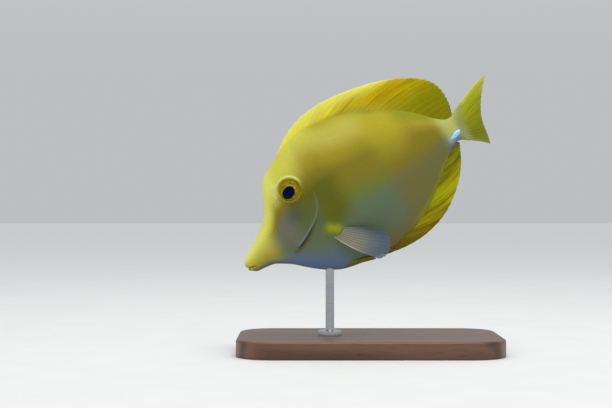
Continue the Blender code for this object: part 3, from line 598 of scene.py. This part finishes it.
def build_skin(material):
    """One skin over all the flesh, with its relief worked into the mesh. Gives the smooth body's tree."""
    shape = body_shape()
    rows, columns = len(shape) - 1, SKIN_AROUND
    bm = bmesh.new()
    bmesh.ops.create_grid(bm, x_segments=rows, y_segments=columns, size=0.5)
    for vertex in bm.verts:
        row = round((vertex.co.x + 0.5) * rows)
        column = round((vertex.co.y + 0.5) * columns)
        vertex.co = shape[row, column]
    bmesh.ops.remove_doubles(bm, verts=bm.verts, dist=WELD)
    bmesh.ops.recalc_face_normals(bm, faces=bm.faces)
    flank = BVHTree.FromBMesh(bm)

    def by_eye(x, y, z):
        return np.hypot(x - EYE["x"], z - EYE["z"]) < EYE_ZONE["reach"]

    def by_gill(x, y, z):
        near = np.abs(follow(GILL_OPENING, x, z)[0]) < GILL_ZONE["reach"]
        return near & (np.abs(y) > GILL_ZONE["clear_of_middle"])

    def by_details(x, y, z):
        found = (x < DETAIL_ZONE["mouth_x"]) & (z < DETAIL_ZONE["mouth_z"])
        for nostril_x, nostril_z, _ in NOSTRILS:
            found |= np.hypot(x - nostril_x, z - nostril_z) < DETAIL_ZONE["nostril"]
        return found | (capsule(x, z, **SHEATH_ZONE) < DETAIL_ZONE["sheath"])

    refine(bm, by_eye, EYE_ZONE["edge"])
    refine(bm, by_gill, GILL_ZONE["edge"])
    refine(bm, by_details, DETAIL_ZONE["edge"])
    bm.normal_update()
    places = np.array([v.co for v in bm.verts])
    normals = np.array([v.normal for v in bm.verts])
    mesh = to_mesh(bm)
    x, y, z = places.T
    outer = ease(np.abs(y), 1.0, 2.5)

    from_eye = np.hypot(x - EYE["x"], z - EYE["z"])
    rim = ORBIT["height"] * bell(from_eye - ORBIT["radius"], ORBIT["width"])
    socket = 1 - ease(from_eye, *ORBIT["lip"])
    lift = outer * (rim * (1 - socket) - ORBIT["hollow"] * socket)

    gill, gill_share = follow(GILL_OPENING, x, z)
    gill_ends = ease(gill_share, 0.0, 0.08) * (1 - 0.8 * ease(gill_share, 0.2, 0.6))
    gill_ends *= 1 - ease(gill_share, 0.8, 1.0)
    step = ease(gill, -GILL["step"], GILL["step"])
    raised = GILL["edge"] * (1 - np.clip(gill / GILL["slope"], 0, 1) ** 2) * step
    groove = -GILL["groove"] * bell(gill, GILL["groove_width"]) * (1 - step)
    lift += outer * gill_ends * (raised + groove)

    cheek, cheek_share = follow(CHEEK_RIDGE, x, z)
    cheek_ends = ease(cheek_share, 0, 0.25) * (1 - ease(cheek_share, 0.75, 1))
    lift += outer * cheek_ends * CHEEK_HEIGHT * (bell(cheek - 0.3, 0.7) - 0.8 * bell(cheek + 0.9, 0.8))

    lobe = capsule(x, z, **PECTORAL_LOBE)
    lift += outer * LOBE["height"] * (1 - ease(lobe, LOBE["crown"], LOBE["radius"]))

    sheath = capsule(x, z, **SHEATH)
    lift += outer * SHEATH_RIM["height"] * bell(sheath - SHEATH_RIM["at"], SHEATH_RIM["width"])

    pits = np.zeros(len(x))
    for nostril_x, nostril_z, radius in NOSTRILS:
        away = np.hypot(x - nostril_x, z - nostril_z)
        pits = np.maximum(pits, 1 - ease(away, 0.45 * radius, 1.15 * radius))
        brim = NOSTRIL_RIM["height"] * bell(away - 1.6 * radius, NOSTRIL_RIM["width"])
        lift += outer * (brim - NOSTRIL_DEPTH * (1 - ease(away, 0.4 * radius, 1.2 * radius)))

    lips = np.maximum(lip_swell(places, normals, UPPER_LIP), lip_swell(places, normals, LOWER_LIP))
    gape = follow(GAPE, x, z)[0]
    mouth = bell(gape, MOUTH["width"]) * (1 - ease(x, *MOUTH["thins"]))
    lift += lips - MOUTH["depth"] * mouth

    soft = [noise.noise(Vector(place) * UNEVEN["scale"]) for place in places]
    lift += UNEVEN["height"] * np.array(soft) * ease(x, *UNEVEN["grows"])
    mesh.vertices.foreach_set("co", (places + normals * lift[:, None]).ravel())

    crest, keel = crest_and_keel(x)
    note(mesh, "rise", np.clip((z - keel) / (crest - keel), 0, 1))
    note(mesh, "lower_lip", np.clip(lip_swell(places, normals, LOWER_LIP) / 0.5, 0, 1) * (1 - mouth))
    note(mesh, "mouth_line", mouth)
    note(mesh, "nostrils", pits)
    # Painted shade: the dark line in the gill slit. Painted highlight: the pale line along the cover's edge.
    lower_gill = 1 - 0.85 * ease(gill_share, 0.35, 0.7)
    note(mesh, "gill_slit_shade", outer * gill_ends * bell(gill + 0.3, 0.55) * lower_gill)
    # A brown band behind the slit's lower part.
    note(mesh, "gill_brown_band", outer * bell(gill + 1.25, 0.85) * (1 - ease(gill_share, 0.1, 0.55)))
    pale_edge = bell(gill - 0.5, 0.5) * (0.85 - 0.4 * ease(gill_share, 0.2, 0.6))
    pale_ends = ease(gill_share, 0.0, 0.1) * (1 - ease(gill_share, 0.6, 1.0))
    note(mesh, "gill_edge_highlight", outer * pale_ends * pale_edge)

    # Light falls from above and a little behind, so the eye's ring is bright there and shaded below.
    upward = (z - EYE["z"] + 0.3 * (x - EYE["x"])) / np.maximum(from_eye, 0.1)
    parts = {"orbit_rim_highlight": ease(upward, 0.1, 0.9), "orbit_shade": ease(-upward, -0.35, 0.5), "orbit_ring": 1}
    for line, (radius, width) in ORBIT_LINES.items():
        note(mesh, line, outer * bell(from_eye - radius, width) * parts[line])
    # Painted shade under the eye and over the pectoral lobe, and a painted highlight before the eye.
    for shade, (shade_x, shade_z, radius) in SHADES.items():
        note(mesh, shade, outer * bell(np.hypot(x - shade_x, z - shade_z), radius))
    note(mesh, "sheen", outer * (1 - ease(capsule(x, z, **SHEEN), 0.0, SHEEN_REACH)))
    note(mesh, "fin_base", outer * bell(lobe, 0.6 * LOBE["radius"]))
    note(mesh, "keel_streak", 1 - ease(capsule(x, z, **KEEL_STREAK), *STREAK_REACH))
    note(mesh, "sheath", outer * bell(sheath - 1.5, 0.8))
    pose_mesh(mesh)
    set_out(mesh, "skin", material, FLESH)
    return flank


def facing(point, normal):
    """A matrix at a point whose z axis is the normal."""
    return Matrix.Translation(point) @ normal.to_track_quat("Z", "Y").to_matrix().to_4x4()


def build_eye(name, side, flank, material):
    """A glass eye: a flattened ball whose iris is dished round a domed pupil."""
    point, normal = surface(flank, EYE["x"], EYE["z"], side)
    bm = bmesh.new()
    bmesh.ops.create_uvsphere(bm, u_segments=72, v_segments=56, radius=1.0)
    bmesh.ops.scale(bm, vec=[EYE["radius"], EYE["radius"], EYE["depth"]], verts=bm.verts)
    bmesh.ops.transform(bm, matrix=facing(point - normal * EYE["sunk"], normal), verts=bm.verts)
    mesh = to_mesh(bm)
    places = coordinates(mesh)
    gaze = np.stack([places[:, 0] - EYE["x"], places[:, 2] - EYE["z"], np.zeros(len(places))], axis=1)
    outward = (places - np.array(point)) @ np.array(normal)
    turn = math.radians(PUPIL["tilt"])
    from_x, from_z = gaze[:, 0] - PUPIL["x"], gaze[:, 1] - PUPIL["z"]
    long_way = (from_x * math.cos(turn) + from_z * math.sin(turn)) / PUPIL["long"]
    short_way = (-from_x * math.sin(turn) + from_z * math.cos(turn)) / PUPIL["short"]
    pupil = np.hypot(long_way, short_way)
    front = ease(outward, *EYE_DISH["front"])
    dish = EYE_DISH["dome"] * (1 - ease(pupil, 0.6, 1.0))
    dish -= EYE_DISH["depth"] * bell(pupil - EYE_DISH["at"], EYE_DISH["width"])
    places += np.outer(front * dish, np.array(normal))
    mesh.vertices.foreach_set("co", places.ravel())
    note(mesh, "gaze", gaze)
    pose_mesh(mesh)
    set_out(mesh, name, material, (name,))


def ray_places(rays, v):
    """Points at share v of each ray's length. A ray is its root and tip (x, y, z), and its bow."""
    root, tip, bow = rays[:, :3], rays[:, 3:6], rays[:, 6]
    chord = tip - root
    length = np.hypot(chord[:, 0], chord[:, 2])
    bent = bow * 4 * v * (1 - v)
    places = root + chord * v[:, None]
    places[:, 0] -= chord[:, 2] / length * bent
    places[:, 2] += chord[:, 0] / length * bent
    return places


def ray_relief(fin, phase, number, v):
    """How much of a ray's ridge stands at a phase of -0.5 to 0.5 across it. Soft rays branch outwards."""
    spine = number < fin["spines"]
    fork = fin["fork"]
    first = np.where(spine, 0, RIDGE["first_fork"] * ease(v, fork, 0.5 + fork))
    second = np.where(spine, 0, RIDGE["second_fork"] * ease(v, 0.35 + fork, 0.75 + fork))
    narrowed = RIDGE["ray"] - RIDGE["narrowing"] * ease(v, fork - 0.05, 0.5 + fork)
    width = np.where(spine, RIDGE["spine"], narrowed)
    relief = np.zeros(len(v))
    for side in (-1, 1):
        for inner in (-1, 1):
            relief = np.maximum(relief, bell(phase + side * first + inner * second, width))
    return relief


def build_fin(name, driving, fin, material, ripple=0.0):
    """A fin with raised, branching rays and a thin web. The driving rays are as ray_places takes them."""
    columns = COLUMNS_PER_RAY * fin["rays"]
    dense = spline(driving, 12)
    shares = np.linspace(0, len(dense) - 1, columns + 1)
    spread = np.array([np.interp(shares, range(len(dense)), column) for column in dense.T]).T
    bm = bmesh.new()
    bmesh.ops.create_grid(bm, x_segments=columns, y_segments=FIN_ROWS, size=0.5)
    mesh = to_mesh(bm)
    grid = coordinates(mesh)
    column = np.round((grid[:, 0] + 0.5) * columns).astype(int)
    u = column / columns
    reach = (np.round((grid[:, 1] + 0.5) * FIN_ROWS) / FIN_ROWS) ** FIN_ROW_CROWDING
    count = u * fin["rays"] - 0.5
    number = np.clip(np.round(count), 0, fin["rays"] - 1)
    phase = count - number
    rays = spread[column]
    length = np.linalg.norm(rays[:, 3:6] - rays[:, :3], axis=1)
    dip = fin["dip"] * (1 - np.cos(2 * math.pi * phase)) / 2
    # Each notch between two rays is cut a little deeper or shallower than the next.
    nick = np.array([0.5 + noise.noise(Vector((17.3 * k, 3.7, 0.5))) for k in number])
    v = reach * (1 - dip * (0.6 + 0.8 * nick) / np.maximum(length, 1.0) * ease(reach, 0.6, 1.0))
    places = ray_places(rays, v)
    relief = ray_relief(fin, phase, number, v)
    arch = np.sin(math.pi * (FIN_ROOT["start"] + FIN_ROOT["span"] * u)) ** FIN_ROOT["power"]
    fleshy = (fin["root"] - fin["web"]) * arch
    ridge = fin["ridge"] * np.minimum(1, RIDGE["rise"] * v) * (1 - RIDGE["fall"] * v)
    thickness = fin["web"] + fleshy * (1 - v) ** fin["thinning"] + relief * ridge
    edge = np.minimum(ease(1 - reach, -0.02, 0.05), ease(1 - u, -0.002, 0.012))
    thickness *= FIN_EDGE + (1 - FIN_EDGE) * edge
    places[:, 1] += np.sin(u * WAVE["along"] + v * WAVE["outward"]) * ripple * v ** WAVE["growth"]
    mesh.vertices.foreach_set("co", places.ravel())
    note(mesh, "ray", relief)
    note(mesh, "spread", u)
    note(mesh, "reach", v)
    note(mesh, "ray_count", count)
    pose_mesh(mesh)
    scratch = placed("fin", mesh)
    group = scratch.vertex_groups.new(name="thickness")
    thickest = thickness.max()
    for index, share in enumerate(thickness / thickest):
        group.add([index], share, "REPLACE")
    solid = scratch.modifiers.new("thickness", "SOLIDIFY")
    solid.thickness = thickest * MM
    solid.offset = 0
    solid.vertex_group = group.name
    graph = bpy.context.evaluated_depsgraph_get()
    finished = bpy.data.meshes.new_from_object(scratch.evaluated_get(graph))
    bpy.data.objects.remove(scratch)
    bm = bmesh.new()
    bm.from_mesh(finished)
    bmesh.ops.recalc_face_normals(bm, faces=bm.faces)
    bm.to_mesh(finished)
    bm.free()
    set_out(finished, name, material, (name,))


def median_rays(rays, fin, line):
    """The driving rays of a fin on the body's crest or keel."""
    driving = []
    for root_x, tip_x, tip_z, bow in rays:
        crest, keel = crest_and_keel(root_x)
        root_z = crest - fin["sunk"] if line == "crest" else keel + fin["sunk"]
        driving.append((root_x, 0, root_z, tip_x, 0, tip_z, bow))
    return driving


def caudal_rays():
    """The driving rays of the tail fin, rooted on the slanted end of the stem."""
    inner, outer = np.array(FRAMES[-2]), np.array(FRAMES[-1])
    driving = []
    for share, tip_x, tip_z, bow in CAUDAL_RAYS:
        crest_x, crest_z, keel_x, keel_z = inner + (outer - inner) * CAUDAL_SLANT * (1 - share)
        root_x = keel_x + (crest_x - keel_x) * share
        root_z = keel_z + (crest_z - keel_z) * share
        driving.append((root_x, 0, root_z, tip_x, 0, tip_z, bow))
    return driving


def paired_rays(rays, fin, side, flank):
    """The driving rays of a fin on one flank, turned about the root of its middle ray by its sweep."""
    middle = rays[len(rays) // 2]
    hinge = Vector(middle[:2])
    turn = Matrix.Rotation(math.radians(fin["sweep"] if side > 0 else 0), 2)
    driving = []
    for root_x, root_z, tip_x, tip_z, bow, out in rays:
        skin = abs(surface(flank, root_x, root_z, side)[0].y)
        tip = hinge + turn @ (Vector((tip_x, tip_z)) - hinge)
        driving.append((root_x, side * (skin - fin["sunk"]), root_z, tip.x, side * (skin + out), tip.y, bow))
    return driving


def build_tail_spine(name, side, flank, material):
    """The blade folded flat on the stem: blunt behind, and slimmer towards its front."""
    spine = TAIL_SPINE
    bm = bmesh.new()
    bmesh.ops.create_uvsphere(bm, u_segments=48, v_segments=32, radius=0.5)
    for vertex in bm.verts:
        taper = 1 - TAIL_SPINE_TAPER * (0.5 - vertex.co.x)
        vertex.co.y *= taper
        vertex.co.z *= taper
    bmesh.ops.scale(bm, vec=[spine["length"], spine["thickness"], spine["height"]], verts=bm.verts)
    point, _ = surface(flank, spine["x"], spine["z"], side)
    tilt = Matrix.Rotation(-math.radians(spine["tilt"]), 4, "Y")
    bmesh.ops.transform(bm, matrix=Matrix.Translation(point) @ tilt, verts=bm.verts)
    mesh = to_mesh(bm)
    pose_mesh(mesh)
    set_out(mesh, name, material, (name,))


def soften(bm, edges, radius, segments):
    """Rounds edges by a radius in mm."""
    bmesh.ops.bevel(bm, geom=edges, affect="EDGES", offset=radius * MM, segments=segments, profile=0.5,
                    material=-1)


def build_base(material):
    """A walnut plate with round corners and a softened top edge."""
    height = BASE["height"] * MM
    bm = bmesh.new()
    bmesh.ops.create_cube(bm, size=1.0)
    bmesh.ops.scale(bm, vec=[BASE["length"] * MM, BASE["width"] * MM, height], verts=bm.verts)
    bmesh.ops.translate(bm, vec=[0, 0, height / 2], verts=bm.verts)
    soften(bm, [e for e in bm.edges if abs(e.verts[0].co.z - e.verts[1].co.z) > TOUCH], *CORNER)
    soften(bm, [e for e in bm.edges if all(v.co.z > height - TOUCH for v in e.verts)], *TOP_EDGE)
    soften(bm, [e for e in bm.edges if all(v.co.z < TOUCH for v in e.verts)], *FOOT_EDGE)
    bmesh.ops.recalc_face_normals(bm, faces=bm.faces)
    set_out(to_mesh(bm), "stand_plate", material, ("stand_base",))


def build_rod(material):
    """A turned steel rod with a round flange, whose top runs into the belly that it carries."""
    radius, foot, wide = ROD["radius"], BASE["height"], FLANGE["radius"]
    crown = foot + FLANGE["height"] + GAP
    shoulder = crown - FLANGE["dome"]
    fillet, fillet_bow, rim, rim_bow = (FLANGE[key] for key in ("fillet", "fillet_bow", "rim", "rim_bow"))
    profile = (
        (0, ROD["top"]), (radius, ROD["top"]), (radius, crown + fillet),
        (radius + fillet_bow, crown + fillet_bow), (radius + fillet, crown),
        (wide - rim, shoulder), (wide - rim_bow, shoulder - rim_bow),
        (wide, shoulder - rim), (wide, foot), (radius, foot), (radius, foot - ROD["spigot"]),
        (0, foot - ROD["spigot"]),
    )
    bm = bmesh.new()
    verts = [bm.verts.new(Vector((r, 0, h)) * MM) for r, h in profile]
    for a, b in zip(verts, verts[1:]):
        bm.edges.new((a, b))
    turned = {"cent": (0, 0, 0), "axis": (0, 0, 1), "angle": 2 * math.pi, "steps": ROD["sides"]}
    bmesh.ops.spin(bm, geom=bm.verts[:] + bm.edges[:], use_merge=True, **turned)
    bmesh.ops.remove_doubles(bm, verts=bm.verts, dist=TOUCH)
    bmesh.ops.recalc_face_normals(bm, faces=bm.faces)
    bmesh.ops.translate(bm, vec=[ROD["x"] * MM, 0, 0], verts=bm.verts)
    mesh = to_mesh(bm)
    set_out(mesh, "stand_post", material, ("stand_rod",))
    mesh.set_sharp_from_angle(angle=math.radians(ROD["sharp"]))


def skin_finish():
    """Mucus-coated fish skin with tiny rough scales: satin sheen, and colours that melt into one another."""
    made, tree, shader = finish("fish_skin", 0.5, coat_weight=0.03, coat_roughness=0.25,
                                specular_ior_level=0.06)
    level = attribute(tree, "level", "Vector")
    x = add(tree, "ShaderNodeSeparateXYZ", {"Vector": level})
    shift = remap(tree, noisy(tree, level, 0.09, 3.0), 0.0, 1.0, -0.035, 0.035)
    height = reckon(tree, "ADD", attribute(tree, "rise"), shift)

    # The tones hold painted light and shade from above, as their table says.
    regions = [ramp(tree, height, [(place, TONES[tone]) for place, tone in row[2]]) for row in SKIN_TONES]
    shade = regions[0]
    for (near, far, _), region in zip(SKIN_TONES[1:], regions[1:]):
        shade = mixed(tree, remap(tree, x, near, far, smooth=True), shade, region)
    # The shades under the eye and over the lobe, the dark below the eye's ring and the gill slit's dark line
    # are painted shade; the bright top of the eye's ring, the sheen and the pale gill edge are painted
    # highlights.
    marks = (
        ("cheek_shade", "#445450", 0.5), ("lobe_shade", "#5E6608", 0.7), ("orbit_ring", "#B4AC28", 0.8),
        ("orbit_shade", "#5C5A14", 0.6), ("orbit_rim_highlight", "#E8EC92", 0.75), ("sheen", "#E2E6B4", 0.4),
        ("gill_edge_highlight", "#8C9AA8", 0.6), ("gill_brown_band", "#6A5210", 0.75), ("gill_slit_shade", "#2C2A30", 0.8),
        ("fin_base", "#969E0C", 1.0), ("keel_streak", "#6F6A12", 0.75), ("sheath", "#C4CCA4", 0.35),
        ("lower_lip", "#B8925C", 0.6), ("mouth_line", "#8E6A20", 0.7), ("nostrils", "#C4B4D0", 0.8),
    )
    for name, mark, strength in marks:
        shade = mixed(tree, reckon(tree, "MULTIPLY", attribute(tree, name), strength), shade, mark)

    # Scales are about 0.5 mm wide on the real fish, and are drawn at 0.8 mm so that they show.
    scales = add(tree, "ShaderNodeTexVoronoi", {"Vector": level, "Scale": 1.25, "Randomness": 0.75})
    grain = noisy(tree, level, 2.2, 4.0)
    speckle = remap(tree, grain, 0.3, 0.7, 0.94, 1.06)
    shade = add(tree, "ShaderNodeHueSaturation", {"Color": shade, "Value": speckle})
    tree.links.new(shade, shader.inputs["Base Color"])
    tree.links.new(remap(tree, grain, 0.0, 1.0, 0.38, 0.58), shader.inputs["Roughness"])
    scaly = add(tree, "ShaderNodeBump", {"Height": scales, "Strength": 0.18, "Distance": 0.0003})
    roughen(tree, shader, 0.15, 0.0004, Height=grain, Normal=scaly)
    return made


def fin_finish(name, stops, ray, streak, tints=(), clear=0.0):
    """Fin web stretched over soft rays: thin and satin, with the rays picked out.

    The stops run from the fin's first ray to its last. The rays' colour comes with its strength and the
    share of their length where it starts to fade, and that of the streaks with its strength. A tint is a
    colour, the shares of a ray's length between which it comes in, and the shares of the fin between which
    it fades out. Clear is how see-through the outer margin gets.
    """
    made, tree, shader = finish(name, 0.45, coat_weight=0.02, specular_ior_level=0.06)
    spread, reach, relief = (attribute(tree, kept) for kept in ("spread", "reach", "ray"))
    place = add(tree, "ShaderNodeCombineXYZ", {"X": attribute(tree, "ray_count"), "Y": reach})
    streaky = remap(tree, noisy(tree, place, 0.7, 4.0, 0.65), 0.42, 0.64, 0.0, streak[1])
    shade = mixed(tree, streaky, ramp(tree, spread, stops), streak[0])
    ray_colour, strength, fades_from = ray
    fade = remap(tree, reach, fades_from, 1.0, strength, 0.1 * strength)
    shade = mixed(tree, reckon(tree, "MULTIPLY", relief, fade), shade, ray_colour)
    for tint, comes, fades in tints:
        came = remap(tree, reach, *comes, smooth=True)
        stays = remap(tree, spread, *fades, 1.0, 0.0, smooth=True)
        shade = mixed(tree, reckon(tree, "MULTIPLY", came, stays), shade, tint)
    tree.links.new(shade, shader.inputs["Base Color"])

    # Rays are jointed about every 0.7 mm, which shows as fine bars across them.
    fine = noisy(tree, attribute(tree, "level", "Vector"), 1.6, 3.0)
    bars = reckon(tree, "SINE", reckon(tree, "MULTIPLY", reach, 220.0))
    bars = reckon(tree, "MULTIPLY_ADD", reckon(tree, "MULTIPLY", bars, relief), 0.2, fine)
    roughen(tree, shader, 0.04 if clear else 0.12, 0.0002, Height=bars)
    if clear:
        film = remap(tree, reach, 0.7, 1.0, 0.0, clear, smooth=True)
        tree.links.new(reckon(tree, "SUBTRACT", 1.0, film), shader.inputs["Alpha"])
    return made


def eye_finish():
    """Blown glass over a painted iris: a deep navy pupil, brown and gold mottling, and a wet shine."""
    made, tree, shader = finish("glass_eye", 0.3, coat_weight=0.06, coat_roughness=0.03,
                                specular_ior_level=0.03)
    gaze = attribute(tree, "gaze", "Vector")
    mapped = add(tree, "ShaderNodeMapping", {
        "Vector": gaze, "Location": (PUPIL["x"], PUPIL["z"], 0),
        "Rotation": (0, 0, math.radians(PUPIL["tilt"])), "Scale": (PUPIL["long"], PUPIL["short"], 1),
    }, vector_type="TEXTURE")
    pupil, from_middle = (
        add(tree, "ShaderNodeVectorMath", {0: place}, operation="LENGTH").node.outputs["Value"]
        for place in (mapped, gaze)
    )
    mottle = noisy(tree, gaze, 0.55, 6.0, 0.7)
    edge = reckon(tree, "ADD", pupil, remap(tree, mottle, 0.0, 1.0, -0.08, 0.08))
    iris = ramp(tree, mottle, ((0.3, "#4E320A"), (0.42, "#7A5E0C"), (0.52, "#9A8412"), (0.66, "#AE9C20")))
    shade = mixed(tree, remap(tree, from_middle, 3.9, 4.8, smooth=True), iris, "#A0961E")
    navy = ramp(tree, mottle, ((0.4, "#01011C"), (0.6, "#050646")))
    shade = mixed(tree, remap(tree, edge, 0.94, 1.02, 1.0, 0.0, smooth=True), shade, navy)
    tree.links.new(shade, shader.inputs["Base Color"])
    return made


def horn_finish():
    """Bare horn of the tail blade: smooth, hard, near white with a sky-blue cast, and painted shade in its
    hollows.
    """
    made, tree, shader = finish("horn", 0.28, coat_weight=0.3, ior=1.54)
    fibres = noisy(tree, stretched(tree, (400, 400, 1600)), 1.0, 4.0)
    shade = ramp(tree, fibres, ((0.3, "#8CBCEC"), (0.55, "#A4DCFA"), (0.8, "#D0F0FF")))
    tree.links.new(shade, shader.inputs["Base Color"])
    roughen(tree, shader, 0.2, 0.0002, Height=fibres)
    return made


def walnut_finish():
    """Oiled walnut, sawn along the grain: dark streaks every few mm, open pores and a low satin sheen."""
    made, tree, shader = finish("oiled_walnut", 0.42, coat_weight=0.15, coat_roughness=0.3)
    grain = stretched(tree, (8, 110, 110), (0.05, 0.12, 0.06))
    rings = add(tree, "ShaderNodeTexWave", {"Vector": grain, "Scale": 0.4, "Distortion": 9.0, "Detail": 3.0},
                bands_direction="Y")
    figure = add(tree, "ShaderNodeMix", {0: 0.7, 2: rings, 3: noisy(tree, grain, 1.0, 3.0)})
    shade = ramp(tree, figure, ((0.3, "#452C1D"), (0.45, "#553722"), (0.58, "#66432B"), (0.75, "#765036")))
    pores = noisy(tree, stretched(tree, (90, 1700, 1700)), 1.0, 2.0)
    pore = remap(tree, pores, 0.28, 0.42, 0.55, 1.0)
    shade = add(tree, "ShaderNodeHueSaturation", {"Color": shade, "Value": pore})
    tree.links.new(shade, shader.inputs["Base Color"])
    roughen(tree, shader, 0.3, 0.0002, Height=pore)
    return made


def steel_finish():
    """Stainless steel turned on a lathe: fine rings round the rod, and a broad soft highlight."""
    made, tree, shader = finish("turned_steel", 0.3, metallic=1.0)
    # The rings are about 0.2 mm apart, coarser than a lathe's, so that they show.
    turned = noisy(tree, stretched(tree, (60, 60, 5200)), 1.0, 2.0)
    shade = ramp(tree, turned, ((0.3, "#A9ABAE"), (0.7, "#C4C6C8")))
    tree.links.new(shade, shader.inputs["Base Color"])
    tree.links.new(remap(tree, turned, 0.0, 1.0, 0.22, 0.4), shader.inputs["Roughness"])
    roughen(tree, shader, 0.05, 0.0001, Height=turned)
    return made


def floor_finish():
    """Matt painted board: pale, even, with the faintest mottling."""
    made, tree, shader = finish("painted_board", 0.8)
    cloud = noisy(tree, stretched(tree, (1, 1, 1)), 40.0, 2.0)
    tree.links.new(ramp(tree, cloud, ((0.3, "#E6E6E4"), (0.7, "#E9E9E7"))), shader.inputs["Base Color"])
    return made


def build_floor():
    bm = bmesh.new()
    bmesh.ops.create_grid(bm, x_segments=1, y_segments=1, size=FLOOR_REACH)
    mesh = to_mesh(bm)
    mesh.materials.append(floor_finish())
    floor = placed("floor", mesh)


def set_camera():
    data = bpy.data.cameras.new("camera")
    data.sensor_width = SENSOR_WIDTH
    data.lens = SENSOR_WIDTH * -CAMERA[1] / SEEN_WIDTH
    data.clip_start = 0.01
    camera = placed("camera", data)
    camera.location = Vector(CAMERA) * MM
    camera.rotation_euler = (math.pi / 2, 0, 0)
    bpy.context.scene.camera = camera


def set_studio():
    """One broad soft light overhead and pale surroundings, with a plain curve that keeps yellow saturated."""
    bpy.context.scene.view_settings.view_transform = "Standard"
    data = bpy.data.lights.new("overhead", "AREA")
    data.shape = "DISK"
    data.size = OVERHEAD["size"]
    data.energy = OVERHEAD["power"]
    light = placed("overhead", data)
    light.location = Vector(OVERHEAD["place"])
    light.rotation_euler = (Vector(OVERHEAD["target"]) - light.location).to_track_quat("-Z", "Y").to_euler()
    world = bpy.data.worlds.new("studio")
    world.use_nodes = True
    tree = world.node_tree
    tree.nodes["Background"].inputs["Color"].default_value = colour("#F4F7FA")
    up = add(tree, "ShaderNodeSeparateXYZ", {0: add(tree, "ShaderNodeTexCoord")}).node.outputs["Z"]
    tree.links.new(remap(tree, up, 0.1, 1.0, 0.56, 0.92), tree.nodes["Background"].inputs["Strength"])
    bpy.context.scene.world = world


flank = build_skin(skin_finish())
# Painted light and shade on the dorsal web: lemon at the front and brightest towards the outer edge of its
# front half, where the light from above falls, darkening to olive towards the rear, which turns from it.
dorsal_finish = fin_finish("dorsal_web", (
    (0.15, "#FAF266"), (0.34, "#F6E846"), (0.43, "#E8CE22"), (0.51, "#D6B608"), (0.6, "#CEB004"),
    (0.69, "#AE9E04"), (0.78, "#908E04"), (1.0, "#828204"),
), ray=("#9C8A04", 0.25, 0.7), streak=("#867800", 0.6), tints=(
    ("#F6EA54", (0.0, 0.01), (0.16, 0.4)), ("#FEF668", (0.4, 1.0), (0.38, 0.54)),
    ("#B4A630", (0.4, 0.17), (0.5, 0.8)), ("#D2CE50", (0.5, 0.17), (0.2, 0.38)),
))
anal_finish = fin_finish("anal_web", (
    (0.0, "#5E4E04"), (0.2, "#766404"), (0.38, "#968204"), (0.52, "#B2A806"), (0.66, "#B0AE08"),
    (0.8, "#8C8C0A"), (1.0, "#6A6A1A"),
), ray=("#A8A010", 0.25, 0.6), streak=("#564A02", 0.8))
# Painted light and shade on the tail fin: pale where the upper lobe catches the light, darker olive lower
# down where the fin faces away from it, and paler again at the lowest edge.
caudal_finish = fin_finish("caudal_web", (
    (0.0, "#DCDC5C"), (0.1, "#C6CA42"), (0.28, "#AAAE18"), (0.5, "#9C9E08"), (0.75, "#7C8008"),
    (0.92, "#7A801C"), (1.0, "#929A34"),
), ray=("#8A860C", 0.25, 0.7), streak=("#6E6E02", 0.5), tints=(
    ("#969A58", (0.36, 0.1), (1.0, 1.1)), ("#B4B766", (0.3, 0.1), (0.0, 0.4)),
))
pectoral_finish = fin_finish("pectoral_web", (
    (0.0, "#C8B8A0"), (0.06, "#7E7C50"), (0.5, "#787C5E"), (1.0, "#66705E"),
), ray=("#B0A0B4", 0.8, 0.2), streak=("#6E7A8A", 0.1), tints=(
    ("#5E6874", (0.4, 0.8), (1.0, 1.1)), ("#909026", (0.3, 0.1), (1.0, 0.1)),
), clear=0.35)
pelvic_finish = fin_finish("pelvic_web", ((0.0, "#6E6414"), (1.0, "#7C7430")), ray=("#8A8020", 0.5, 0.6),
                           streak=("#5A5410", 0.4), tints=(("#6F6A12", (0.3, 0.05), (1.0, 1.1)),))
dorsal, anal = median_rays(DORSAL_RAYS, DORSAL, "crest"), median_rays(ANAL_RAYS, ANAL, "keel")
build_fin("dorsal_fin", dorsal, DORSAL, dorsal_finish, ripple=0.5)
build_fin("anal_fin", anal, ANAL, anal_finish, ripple=0.4)
build_fin("caudal_fin", caudal_rays(), CAUDAL, caudal_finish, ripple=0.3)
glass = eye_finish()
horn = horn_finish()
for name, side in SIDES.items():
    build_eye("eye_" + name, side, flank, glass)
    pectoral = paired_rays(PECTORAL_RAYS, PECTORAL, side, flank)
    build_fin("pectoral_fin_" + name, pectoral, PECTORAL, pectoral_finish, ripple=0.3)
    pelvic = paired_rays(PELVIC_RAYS, PELVIC, side, flank)
    build_fin("pelvic_fin_" + name, pelvic, PELVIC, pelvic_finish)
    build_tail_spine("tail_spine_" + name, side, flank, horn)
build_base(walnut_finish())
build_rod(steel_finish())
build_floor()
set_studio()
set_camera()
